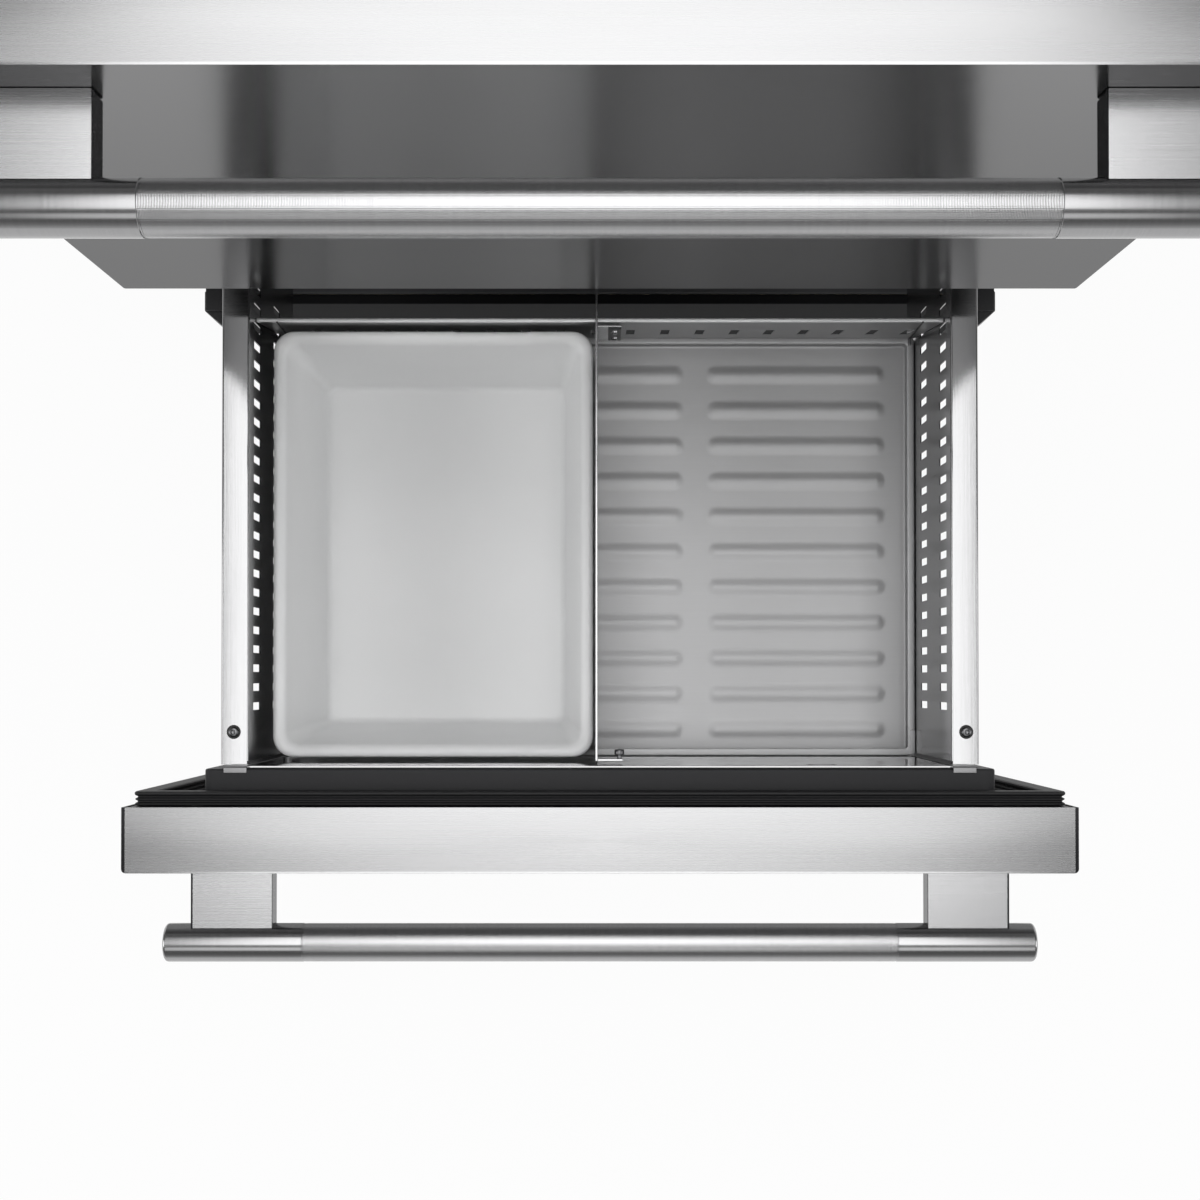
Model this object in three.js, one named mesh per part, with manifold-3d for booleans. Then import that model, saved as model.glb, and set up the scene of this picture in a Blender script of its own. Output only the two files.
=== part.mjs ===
// Undercounter refrigerator with two stacked drawers, the lower one a freezer with an ice bin.
// Millimetres. X runs across the front, Y towards the back, Z up from the floor.
// Heights and depths are worked out from the closed face frame, whose front is at Y = 0.

import * as THREE from "three";
import { mergeVertices } from "three/addons/utils/BufferGeometryUtils.js";
import Module from "manifold-3d";

// ---------------------------------------------------------------- driving dimensions

const FIT = 0.3; // gap kept between two pieces that touch
const SHEET = 1.5; // folded sheet steel
const THIN_SHEET = 0.8; // drawer sides and back walls
const LINER = 2.5; // moulded inner liner

const CABINET_WIDTH = 603;
const CABINET_HEIGHT = 876;
const CABINET_DEPTH = 533;
const TOE_HEIGHT = 100;
const TOE_DEPTH = 52;
const MACHINE_TOP = 192; // underside of the insulation over the machine space

const FRONT_WIDTH = 606.4;
const FRONT_HEIGHT = 382;
const FRONT_THICK = 41.8;
const FRONT_GAP = 4;
const FRONT_RADIUS = 3;
const GASKET_SPACE = 10; // closed front to face frame
const FACE_CLOSED = -(FRONT_THICK + GASKET_SPACE);
const TRAVEL = 370.3; // full opening of a drawer

const LOWER_TOP = TOE_HEIGHT + FRONT_HEIGHT;
const UPPER_TOP = LOWER_TOP + FRONT_GAP + FRONT_HEIGHT;

// Depths below the top edge of a drawer's own front.
const RAIL_DEPTH = 37;
const SLOT_ROW_DEPTHS = [63, 129];
const SLIDE_DEPTH = 64;
const SLIDE_HEIGHT = 46;
const WALL_DEPTH = 57;
const PAN_EDGE_DEPTH = 161;
const PAN_FLOOR_DEPTH = 188;
const HANDLE_DEPTH = 33;
const PLUG_DEPTH = 24;
const PLUG_WALL = 12;
const INNER_PLATE_DEPTH = 28;

// Distances behind a drawer's own front face.
const PLUG_BACK = 64.9;
const BOX_FRONT = 67;
const WALL_TOP_Y = 362.4;
const WALL_FOOT_Y = 372.8;
const WALL_HEM = [2.6, 6]; // thickness and height of the hem along its top
const BOX_BACK = 455;

// Half widths of the drawer and its slides.
const BOX_HALF = 230.6;
const RAIL_HALF = 248.7;
const PLUG_HALF = 256.7;
const GASKET_HALF = 298;
const GASKET_BAND = 12.5;
const LINER_HALF = 276;
const MID_SLIDE = [250, 266];
const FIXED_SLIDE = [267, 275.7];
const SLIDE_GAP = 0.7; // drawer's slide member to the middle member
const SLIDE_WALL = 2;
const MID_SLIDE_Y = [134.5, 410];
const FIXED_SLIDE_Y = [12, 412];

// Upright air slots, as width and height.
const SIDE_SLOT = [5, 22];
const SLOT_PITCH = 12.7;
const SLOT_COUNT = 23;
const FIRST_SLOT_Y = 105;
const WALL_SLOT = [6, 28];
const WALL_SLOT_PITCH = 24.5;
const WALL_SLOT_X = -3;
const WALL_SLOTS = [-8, 9]; // first and last slot, counted from the one at WALL_SLOT_X
const WALL_SLOT_DEPTH = 121;

const RIB_WIDTH = 15.4;
const RIB_PITCH = 26.5;
const RIB_RISE = 2;
const RIB_ROWS = 11;
const LAST_RIB_Y = 350.8;
const RIB_SPANS = [
  [-214, -79],
  [-63.4, 63.4],
  [79, 214],
];

const BAR_RADIUS = 12.5;
const BAR_HALF = 282.9;
const BAR_JOINT = 192.3;
const BAR_REACH = 48.6; // bar axis in front of the drawer front
const POST_X = [212.3, 265.2];
const POST_HEIGHT = 15;

const DIVIDER_X = [-3, -1.6];
const DIVIDER_CREST_DEPTH = 42;
const DIVIDER_HOOK = [22, 11]; // reach behind the back wall, and height
const DIVIDER_FOOT = 1.4;

const BIN_X = [-223.4, -4.8];
const BIN_Y = [70, 361.3];
const BIN_DEPTHS = [80, 185.5]; // rim and base
const BIN_TAPER = 11;
const BIN_RADIUS = 14; // corners of the rim
const BIN_WALL = 2.5;
const BIN_RIM = 6.5; // reach of the rim outside the wall

const LEG_X = 270;
const LEG_Y = [90, 500];
const OPENING_BOTTOM = 215;
const SHELF_Z = [540, 590]; // ceiling over the ice maker, floor under the upper drawer box
const LINER_BACK = 490;
const COVER_Y = 414; // evaporator cover
const FAN_X = 130;
const FAN_Z = 478;
const FAN_RADIUS = 46;
const COOLER_X = 150;
const COOLER_Y = 250;
const COOLER_Z = 112;
const COOLER_RADIUS = 48;
const ICE_SHAFT = [140, 487]; // ejector shaft, Y and Z
const BUTTON_X = [-30, 30];
const BUTTON_Y = 47;
const CONTROL_DEPTH = 32; // underside of the control strip below the top of the upper front

// Machine space, over a base of folded sheet.
const BASE_Y = [57, 531];
const BASE_Z = [26, 29];
const BASE_RIM = 52;
const MACHINE_FLOOR = BASE_Z[1] + FIT;
const GRILLE_Y = [54, 56.4];
const COMPRESSOR_X = -170;
const COMPRESSOR_Y = 420;
const VALVE_X = 222;
const VALVE_Z = 81;
const CORD_X = -242;
const CORD_Z = 77;
const MOTOR_RADIUS = 14;
const MOTOR_REACH = 16; // back of the fan space to its motor
const ARM = 5;

// The part stands with its box centred on Y when the lower drawer is open.
const FRONT_MOST = FACE_CLOSED - TRAVEL - BAR_REACH - BAR_RADIUS;
const ORIGIN_Y = (FRONT_MOST + CABINET_DEPTH) / 2;

// ---------------------------------------------------------------- finishes

function finish(color, roughness, metalness) {
  return new THREE.MeshStandardMaterial({ color, roughness, metalness });
}

const FINISH = {
  stainless: finish(0xc4c5c6, 0.3, 1),
  polished: finish(0xd0d1d2, 0.12, 1),
  satin: finish(0xa9abad, 0.42, 1),
  slide: finish(0x1c1d1f, 0.4, 0.6),
  case: finish(0x3a3c3f, 0.5, 0.4),
  charcoal: finish(0x3b3c3e, 0.55, 0),
  seal: finish(0x121213, 0.8, 0),
  liner: finish(0x4a4c4f, 0.5, 0),
  foam: finish(0xe6dcb4, 0.95, 0),
  zinc: finish(0x9fa3a6, 0.45, 0.9),
  black: finish(0x17181a, 0.6, 0),
  bin: finish(0xe9edee, 0.45, 0),
  alloy: finish(0xb4b8ba, 0.5, 0.9),
  lens: finish(0xf3f5f2, 0.3, 0),
  brass: finish(0xb08d4a, 0.4, 1),
};

// ---------------------------------------------------------------- solids

const wasm = await Module();
wasm.setup();

function solid(geometry) {
  const bare = geometry.index ? geometry.toNonIndexed() : geometry.clone();
  bare.deleteAttribute("normal");
  bare.deleteAttribute("uv");
  const merged = mergeVertices(bare, 1e-3);
  return new wasm.Manifold(
    new wasm.Mesh({
      numProp: 3,
      vertProperties: merged.attributes.position.array,
      triVerts: new Uint32Array(merged.index.array),
    }),
  );
}

function join(first, ...others) {
  return others.reduce((sum, other) => sum.add(other), first);
}

function cut(first, ...others) {
  return others.reduce((rest, other) => rest.subtract(other), first);
}

function box([x0, x1], [y0, y1], [z0, z1]) {
  const geometry = new THREE.BoxGeometry(x1 - x0, y1 - y0, z1 - z0);
  geometry.translate((x0 + x1) / 2, (y0 + y1) / 2, (z0 + z1) / 2);
  return solid(geometry);
}

function outline(points) {
  return new THREE.Shape(points.map(([u, v]) => new THREE.Vector2(u, v)));
}

// A rectangle with round corners, centred on (u, v).
function roundRect(u, v, width, height, radius) {
  const shape = new THREE.Shape();
  const right = u + width / 2;
  const left = u - width / 2;
  const top = v + height / 2;
  const bottom = v - height / 2;
  shape.moveTo(right, top - radius);
  shape.absarc(right - radius, top - radius, radius, 0, Math.PI / 2);
  shape.absarc(left + radius, top - radius, radius, Math.PI / 2, Math.PI);
  shape.absarc(left + radius, bottom + radius, radius, Math.PI, 1.5 * Math.PI);
  shape.absarc(right - radius, bottom + radius, radius, 1.5 * Math.PI, 2 * Math.PI);
  return shape;
}

function extrude(shape, length, curveSegments) {
  return new THREE.ExtrudeGeometry(shape, {
    depth: length,
    bevelEnabled: false,
    curveSegments,
  });
}

// An outline in X and Y, raised along Z.
function alongZ(shape, [z0, z1], curveSegments = 3) {
  const geometry = extrude(shape, z1 - z0, curveSegments);
  geometry.translate(0, 0, z0);
  return solid(geometry);
}

// An outline in X and Z, drawn out along Y.
function alongY(shape, [y0, y1], curveSegments = 3) {
  const geometry = extrude(shape, y1 - y0, curveSegments);
  geometry.rotateX(Math.PI / 2);
  geometry.translate(0, y1, 0);
  return solid(geometry);
}

// An outline in Y and Z, drawn out along X.
function alongX(shape, [x0, x1], curveSegments = 3) {
  const geometry = extrude(shape, x1 - x0, curveSegments);
  geometry.rotateZ(Math.PI / 2);
  geometry.rotateY(Math.PI / 2);
  geometry.translate(x0, 0, 0);
  return solid(geometry);
}

// A turned piece: profile points are [radius, height] up the axis.
function turned(profile, axis, [x, y, z], sides = 16) {
  const points = profile.map(([r, h]) => new THREE.Vector2(r, h));
  const geometry = new THREE.LatheGeometry(points, sides);
  if (axis === "x") geometry.rotateZ(-Math.PI / 2);
  if (axis === "z") geometry.rotateX(Math.PI / 2);
  geometry.translate(x, y, z);
  return solid(geometry);
}

function rod(radius, length, axis, centre, sides = 16) {
  const half = length / 2;
  const profile = [
    [0, -half],
    [radius, -half],
    [radius, half],
    [0, half],
  ];
  return turned(profile, axis, centre, sides);
}

// A closed skin through rings of equal point counts, given from the first to the last.
function skin(rings) {
  const count = rings[0].length;
  const positions = [];
  const index = [];
  rings.forEach((ring) => ring.forEach((point) => positions.push(...point)));
  for (let level = 0; level + 1 < rings.length; level++) {
    for (let i = 0; i < count; i++) {
      const next = (i + 1) % count;
      const a = level * count + i;
      const b = level * count + next;
      index.push(a, b, b + count, a, b + count, a + count);
    }
  }
  const last = (rings.length - 1) * count;
  for (let i = 1; i + 1 < count; i++) {
    index.push(0, i + 1, i);
    index.push(last, last + i, last + i + 1);
  }
  const geometry = new THREE.BufferGeometry();
  geometry.setAttribute("position", new THREE.Float32BufferAttribute(positions, 3));
  geometry.setIndex(index);
  return solid(geometry);
}

function piece(name, material, body) {
  const mesh = body.getMesh();
  const geometry = new THREE.BufferGeometry();
  const stride = mesh.numProp;
  const count = mesh.vertProperties.length / stride;
  const positions = new Float32Array(count * 3);
  for (let i = 0; i < count; i++) {
    for (let k = 0; k < 3; k++) positions[3 * i + k] = mesh.vertProperties[stride * i + k];
  }
  geometry.setAttribute("position", new THREE.BufferAttribute(positions, 3));
  geometry.setIndex(new THREE.BufferAttribute(new Uint32Array(mesh.triVerts), 1));
  const flat = geometry.toNonIndexed();
  flat.computeVertexNormals();
  const result = new THREE.Mesh(flat, FINISH[material]);
  result.name = name;
  return result;
}

function mirrored([low, high]) {
  return [-high, -low];
}

function grow([low, high], by) {
  return [low - by, high + by];
}

function centred(middle, size) {
  return [middle - size / 2, middle + size / 2];
}

// ---------------------------------------------------------------- drawer

// Folded stainless tray, open at the back.
function frontPanel([bottom, top]) {
  const half = FRONT_WIDTH / 2;
  const plan = new THREE.Shape();
  plan.moveTo(half, FRONT_THICK);
  plan.lineTo(-half, FRONT_THICK);
  plan.absarc(-half + FRONT_RADIUS, FRONT_RADIUS, FRONT_RADIUS, Math.PI, 1.5 * Math.PI);
  plan.absarc(half - FRONT_RADIUS, FRONT_RADIUS, FRONT_RADIUS, 1.5 * Math.PI, 2 * Math.PI);
  const outside = alongZ(plan, [bottom, top], 4);
  const inside = box(
    [SHEET - half, half - SHEET],
    [SHEET, FRONT_THICK + SHEET],
    [bottom + SHEET, top - SHEET],
  );
  return cut(outside, inside);
}

// Moulded inner panel whose raised middle enters the cabinet opening, hollow towards the front.
function frontPlug([bottom, top], plugBottom) {
  const inset = SHEET + FIT;
  const across = grow([-FRONT_WIDTH / 2, FRONT_WIDTH / 2], -inset);
  const up = [bottom + inset, top - inset];
  const fill = box(across, [inset, FRONT_THICK - FIT], up);
  const plugTop = top - PLUG_DEPTH;
  const face = roundRect(0, (plugTop + plugBottom) / 2, 2 * PLUG_HALF, plugTop - plugBottom, 5);
  const raised = alongY(face, [FRONT_THICK - 1, PLUG_BACK]);
  const hollow = box(
    grow(across, -PLUG_WALL),
    [0, FRONT_THICK - FIT - PLUG_WALL],
    grow(up, -PLUG_WALL),
  );
  const middle = box(
    grow([-PLUG_HALF, PLUG_HALF], -PLUG_WALL),
    [0, PLUG_BACK - PLUG_WALL],
    grow([plugBottom, plugTop], -PLUG_WALL),
  );
  return cut(join(fill, raised), hollow, middle);
}

function gasket(top, gasketBottom) {
  const gasketTop = top - 8;
  const z = (gasketTop + gasketBottom) / 2;
  const height = gasketTop - gasketBottom;
  const outer = roundRect(0, z, 2 * GASKET_HALF, height, 4);
  const inner = box(
    [GASKET_BAND - GASKET_HALF, GASKET_HALF - GASKET_BAND],
    [0, BOX_FRONT],
    [gasketBottom + GASKET_BAND, gasketTop - GASKET_BAND],
  );
  const ring = alongY(outer, [FRONT_THICK + FIT, FRONT_THICK + GASKET_SPACE - 0.5], 2);
  const groove = cut(
    alongY(roundRect(0, z, 2 * GASKET_HALF + 2, height + 2, 4), [46.5, 47.7], 2),
    alongY(roundRect(0, z, 2 * GASKET_HALF - 3, height - 3, 3), [46, 48], 2),
  );
  return cut(ring, inner, groove);
}

function innerPlate(top) {
  return box(
    [FIT - BOX_HALF, BOX_HALF - FIT],
    [PLUG_BACK + FIT, BOX_FRONT - FIT],
    [top - PAN_FLOOR_DEPTH + 1, top - INNER_PLATE_DEPTH],
  );
}

function handleBar(top) {
  const grip = BAR_RADIUS - 0.3;
  const neck = BAR_RADIUS - 0.8;
  const halfProfile = [
    [0, BAR_HALF],
    [BAR_RADIUS - 2, BAR_HALF],
    [BAR_RADIUS, BAR_HALF - 2],
    [BAR_RADIUS, BAR_JOINT + 0.6],
    [neck, BAR_JOINT + 0.3],
    [neck, BAR_JOINT - 0.3],
    [grip, BAR_JOINT - 0.6],
  ];
  const profile = [
    ...halfProfile.map(([r, h]) => [r, -h]),
    ...halfProfile.toReversed(),
  ];
  return turned(profile, "x", [0, -BAR_REACH, top - HANDLE_DEPTH], 24);
}

function handlePost(top, span) {
  const z = top - HANDLE_DEPTH;
  const plan = alongZ(
    roundRect((span[0] + span[1]) / 2, -20, span[1] - span[0], 39.4, 1),
    [z - POST_HEIGHT / 2, z + POST_HEIGHT / 2],
    2,
  );
  const seat = rod(BAR_RADIUS + FIT, 2 * BAR_HALF, "x", [0, -BAR_REACH, z], 24);
  return cut(plan, seat, box([-400, 400], [-FIT, 5], [0, 1000]));
}

// Side whose top is folded out and down into a rail, with the drawer's slide member on its skirt.
function drawerSide(top, side, perforated) {
  const rail = top - RAIL_DEPTH;
  const foot = top - PAN_FLOOR_DEPTH - 3;
  const slideTop = top - SLIDE_DEPTH;
  const slideFoot = slideTop - SLIDE_HEIGHT;
  const slideFace = MID_SLIDE[0] - SLIDE_GAP;
  const plateBack = BOX_HALF + THIN_SHEET;
  const section = outline([
    [BOX_HALF, foot],
    [plateBack, foot],
    [plateBack, rail - THIN_SHEET],
    [RAIL_HALF - THIN_SHEET, rail - THIN_SHEET],
    [RAIL_HALF - THIN_SHEET, slideFoot],
    [slideFace, slideFoot],
    [slideFace, slideTop],
    [RAIL_HALF, slideTop],
    [RAIL_HALF, rail],
    [BOX_HALF, rail],
  ]);
  const slots = [];
  for (const depth of perforated ? SLOT_ROW_DEPTHS : []) {
    for (let i = 0; i < SLOT_COUNT; i++) {
      const y = centred(FIRST_SLOT_Y + i * SLOT_PITCH, SIDE_SLOT[0]);
      const z = centred(top - depth, SIDE_SLOT[1]);
      slots.push(box([BOX_HALF - 1, plateBack + 1], y, z));
    }
  }
  const body = cut(alongY(section, [BOX_FRONT, BOX_BACK]), ...slots);
  return side < 0 ? body.mirror([1, 0, 0]) : body;
}

// Pressed pan with upturned edges, and in a freezer drawer rows of raised ribs.
function pan(top, ribbed) {
  const half = BOX_HALF - FIT;
  const floor = top - PAN_FLOOR_DEPTH;
  const back = WALL_FOOT_Y + SHEET;
  const front = BOX_FRONT + 0.2;
  const outside = box([-half, half], [front, back], [floor - SHEET, top - PAN_EDGE_DEPTH]);
  const inside = box(
    [SHEET - half, half - SHEET],
    [front + SHEET, back - SHEET],
    [floor, top],
  );
  const ribs = [];
  for (let row = 0; ribbed && row < RIB_ROWS; row++) {
    const y = LAST_RIB_Y - row * RIB_PITCH;
    for (const [x0, x1] of RIB_SPANS) {
      const plan = roundRect((x0 + x1) / 2, y, x1 - x0, RIB_WIDTH, RIB_WIDTH / 2 - 0.2);
      ribs.push(alongZ(plan, [floor - 0.5, floor + RIB_RISE], 1));
    }
  }
  return join(cut(outside, inside), ...ribs);
}

// Leaning wall with a hem along its top, standing on the pan's rear edge.
function backWall(top) {
  const wallTop = top - WALL_DEPTH;
  const foot = top - PAN_EDGE_DEPTH + FIT;
  const lean = (WALL_FOOT_Y - WALL_TOP_Y) / (wallTop - foot);
  const [hemThick, hemHeight] = WALL_HEM;
  const section = outline([
    [WALL_TOP_Y, wallTop],
    [WALL_FOOT_Y, foot],
    [WALL_FOOT_Y + THIN_SHEET, foot],
    [WALL_TOP_Y + THIN_SHEET + lean * hemHeight, wallTop - hemHeight],
    [WALL_TOP_Y + hemThick, wallTop - hemHeight],
    [WALL_TOP_Y + hemThick, wallTop],
  ]);
  const slots = [];
  for (let i = WALL_SLOTS[0]; i <= WALL_SLOTS[1]; i++) {
    const x = centred(WALL_SLOT_X + i * WALL_SLOT_PITCH, WALL_SLOT[0]);
    const y = [WALL_TOP_Y - 1, WALL_FOOT_Y + SHEET];
    slots.push(box(x, y, centred(top - WALL_SLOT_DEPTH, WALL_SLOT[1])));
  }
  const width = BOX_HALF - FIT;
  return cut(alongX(section, [-width, width]), ...slots);
}

function drawer(name, [bottom, top], plugBottom, gasketBottom) {
  const group = new THREE.Group();
  const freezer = name === "lower";
  const range = [bottom, top];
  group.add(
    piece(name + "_front_panel", "stainless", frontPanel(range)),
    piece(name + "_inner_panel", "charcoal", frontPlug(range, plugBottom)),
    piece(name + "_gasket", "seal", gasket(top, gasketBottom)),
    piece(name + "_handle_bar", "stainless", handleBar(top)),
    piece(name + "_handle_post_left", "stainless", handlePost(top, mirrored(POST_X))),
    piece(name + "_handle_post_right", "stainless", handlePost(top, POST_X)),
    piece(name + "_side_left", "stainless", drawerSide(top, -1, freezer)),
    piece(name + "_side_right", "stainless", drawerSide(top, 1, freezer)),
    piece(name + "_pan", "satin", pan(top, freezer)),
    piece(name + "_back_wall", "satin", backWall(top)),
  );
  return group;
}

// ---------------------------------------------------------------- what the lower drawer carries

// Thin plate across the drawer's depth, hooked over the back wall, with a foot at each end.
function divider(top) {
  const front = BOX_FRONT + 0.2 + SHEET + FIT;
  const back = WALL_TOP_Y - 1;
  const foot = top - PAN_FLOOR_DEPTH + RIB_RISE + 1;
  const crest = top - DIVIDER_CREST_DEPTH;
  const hook = crest - DIVIDER_HOOK[1];
  const hookBack = WALL_TOP_Y + DIVIDER_HOOK[0];
  const plate = outline([
    [front, foot],
    [back, foot],
    [back, hook],
    [hookBack, hook],
    [hookBack, crest],
    [front, crest],
  ]);
  const backFoot = box([-2, 14.5], [back - DIVIDER_FOOT, back], [top - 104, top - 62]);
  const frontFoot = box([-2, 15], [front, front + DIVIDER_FOOT], [top - 58, top - 43]);
  return join(alongX(plate, DIVIDER_X), backFoot, frontFoot);
}

function roundRing([x0, x1], [y0, y1], radius, z) {
  const ring = [];
  const corners = [
    [x1 - radius, y1 - radius, 0],
    [x0 + radius, y1 - radius, 1],
    [x0 + radius, y0 + radius, 2],
    [x1 - radius, y0 + radius, 3],
  ];
  for (const [cx, cy, quarter] of corners) {
    for (let i = 0; i <= 4; i++) {
      const angle = ((quarter + i / 4) * Math.PI) / 2;
      ring.push([cx + radius * Math.cos(angle), cy + radius * Math.sin(angle), z]);
    }
  }
  return ring;
}

// Tapered tub with a rolled rim.
function iceBin(top) {
  const rim = top - BIN_DEPTHS[0];
  const base = top - BIN_DEPTHS[1];
  const at = (inset, radius, z) => roundRing(grow(BIN_X, -inset), grow(BIN_Y, -inset), radius, z);
  const outside = BIN_TAPER + BIN_RIM;
  const inside = outside + BIN_WALL;
  return skin([
    at(outside + 3, 7, base),
    at(outside, 9, base + 4),
    at(BIN_RIM, 11, rim - 9),
    at(0.6, BIN_RADIUS, rim - 9),
    at(0, BIN_RADIUS, rim - 2),
    at(1.6, BIN_RADIUS - 1, rim),
    at(BIN_RIM, 11.5, rim),
    at(BIN_RIM + BIN_WALL, 9, rim - 3),
    at(inside, 7, base + 6),
    at(inside + 3, 6, base + BIN_WALL),
  ]);
}

// ---------------------------------------------------------------- slides

function midSlide(top, side) {
  const [x0, x1] = MID_SLIDE;
  const z1 = top - SLIDE_DEPTH;
  const z0 = z1 - SLIDE_HEIGHT;
  const web = centred((x0 + x1) / 2, SLIDE_WALL);
  const inside = [z0 + SLIDE_WALL, z1 - SLIDE_WALL];
  const section = outline([
    [x0, z0],
    [x1, z0],
    [x1, inside[0]],
    [web[1], inside[0]],
    [web[1], inside[1]],
    [x1, inside[1]],
    [x1, z1],
    [x0, z1],
    [x0, inside[1]],
    [web[0], inside[1]],
    [web[0], inside[0]],
    [x0, inside[0]],
  ]);
  const body = alongY(section, MID_SLIDE_Y);
  return side < 0 ? body.mirror([1, 0, 0]) : body;
}

function fixedSlide(top, side) {
  const [x0, x1] = FIXED_SLIDE;
  const z1 = top - SLIDE_DEPTH + 1;
  const z0 = z1 - SLIDE_HEIGHT - 2;
  const web = x1 - SLIDE_WALL;
  const section = outline([
    [x0, z0],
    [x1, z0],
    [x1, z1],
    [x0, z1],
    [x0, z1 - SLIDE_WALL],
    [web, z1 - SLIDE_WALL],
    [web, z0 + SLIDE_WALL],
    [x0, z0 + SLIDE_WALL],
  ]);
  const body = alongY(section, FIXED_SLIDE_Y);
  return side < 0 ? body.mirror([1, 0, 0]) : body;
}

function slides(name, top, make) {
  const group = new THREE.Group();
  group.add(
    piece(name + "_left", "slide", make(top, -1)),
    piece(name + "_right", "slide", make(top, 1)),
  );
  return group;
}

// ---------------------------------------------------------------- cabinet

const OPENINGS = {
  lower: [OPENING_BOTTOM, LOWER_TOP - 21],
  upper: [LOWER_TOP + 25, UPPER_TOP - 21],
};

function cabinetWrapper() {
  const half = CABINET_WIDTH / 2;
  const outside = box([-half, half], [0, CABINET_DEPTH], [BASE_Z[0], CABINET_HEIGHT]);
  const inside = box(
    [SHEET - half, half - SHEET],
    [-1, CABINET_DEPTH + 1],
    [0, CABINET_HEIGHT - SHEET],
  );
  const toeNotch = box([-CABINET_WIDTH, CABINET_WIDTH], [-1, TOE_DEPTH], [0, TOE_HEIGHT]);
  return cut(outside, inside, toeNotch);
}

const INSIDE = CABINET_WIDTH / 2 - SHEET - FIT;
const CEILING = CABINET_HEIGHT - SHEET - FIT;
const FRAME_THICK = 8;

function faceFrame() {
  const plate = box([-INSIDE, INSIDE], [0.2, FRAME_THICK], [TOE_HEIGHT, CEILING]);
  const holes = Object.values(OPENINGS).map((z) =>
    box([-LINER_HALF, LINER_HALF], [-1, FRAME_THICK + 1], z),
  );
  return cut(plate, ...holes);
}

// A liner is two joined boxes: the mouth behind the frame and the room behind it.
function linerRooms(name) {
  const x = [-LINER_HALF, LINER_HALF];
  const start = FRAME_THICK + FIT;
  const [z0, z1] = OPENINGS[name];
  if (name === "lower") {
    return [
      [x, [start, LINER_BACK], [z0, z1]],
      [x, [70, LINER_BACK], [z1 - 1, SHELF_Z[0]]],
    ];
  }
  return [
    [x, [start, 30], [z0, z1]],
    [x, [start, LINER_BACK], [SHELF_Z[1], z1]],
  ];
}

function linerOutside(name, extra) {
  const start = FRAME_THICK + FIT;
  const blocks = linerRooms(name).map(([x, [y0, y1], z]) => {
    const front = y0 === start ? y0 : y0 - LINER - extra;
    return box(grow(x, LINER + extra), [front, y1 + LINER + extra], grow(z, LINER + extra));
  });
  return join(...blocks);
}

function liner(name) {
  const start = FRAME_THICK + FIT;
  const rooms = linerRooms(name).map(([x, [y0, y1], z]) =>
    box(x, [y0 === start ? y0 - 1 : y0, y1], z),
  );
  return cut(linerOutside(name, 0), ...rooms);
}

function insulation() {
  const block = box(
    [-INSIDE, INSIDE],
    [FRAME_THICK + FIT, CABINET_DEPTH - SHEET - 2 * FIT],
    [MACHINE_TOP, CEILING],
  );
  return cut(block, linerOutside("upper", FIT), linerOutside("lower", FIT));
}

function backSheet() {
  const y = [CABINET_DEPTH - SHEET - FIT, CABINET_DEPTH - FIT];
  return box([-INSIDE, INSIDE], y, [MACHINE_TOP, CEILING]);
}

function ventedPlate(x, y, z, slots) {
  return cut(box(x, y, z), ...slots.map(([sx, sz]) => box(sx, grow(y, 1), sz)));
}

function rearCover() {
  const slots = [];
  for (let column = 0; column < 9; column++) {
    for (const z of [
      [60, 100],
      [115, 155],
    ]) {
      const x = -100 + column * 26;
      slots.push([[x, x + 8], z]);
    }
  }
  const y = [CABINET_DEPTH - SHEET - FIT, CABINET_DEPTH - FIT];
  return ventedPlate([-INSIDE, INSIDE], y, [30, MACHINE_TOP - FIT], slots);
}

function toeGrille() {
  const slots = [];
  for (let row = 0; row < 5; row++) {
    for (let column = 0; column < 3; column++) {
      const x = -270 + column * 186;
      const z = 26 + row * 13;
      slots.push([
        [x, x + 168],
        [z, z + 6],
      ]);
    }
  }
  return ventedPlate([-INSIDE, INSIDE], GRILLE_Y, [12, TOE_HEIGHT - 2], slots);
}

function basePan() {
  const plate = box([-INSIDE, INSIDE], BASE_Y, BASE_Z);
  const rim = [BASE_Z[0], BASE_RIM];
  const edges = [
    box([-INSIDE, INSIDE], [BASE_Y[0], BASE_Y[0] + 2], rim),
    box([-INSIDE, 2 - INSIDE], BASE_Y, rim),
    box([INSIDE - 2, INSIDE], BASE_Y, rim),
  ];
  const places = [-LEG_X, LEG_X].flatMap((x) => LEG_Y.map((y) => [x, y]));
  const bosses = places.map(([x, y]) => rod(13, 20, "z", [x, y, 37], 12));
  const holes = places.map(([x, y]) => rod(5.8, 60, "z", [x, y, 35], 12));
  return cut(join(plate, ...edges, ...bosses), ...holes);
}

// Foot with its threaded stud, turned to level the cabinet.
function leg(x, y) {
  const profile = [
    [0, 0],
    [19, 0],
    [20, 2],
    [20, 6],
    [12, 10],
    [12, 25.6],
    [5.2, 25.6],
    [5.2, 44],
    [0, 44],
  ];
  return turned(profile, "z", [x, y, 0], 12);
}

// ---------------------------------------------------------------- cold side

function ringPlate(outer, inner, length, centre) {
  return cut(
    rod(outer, length, "y", centre, 20),
    rod(inner, length + 2, "y", centre, 20),
  );
}

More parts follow.
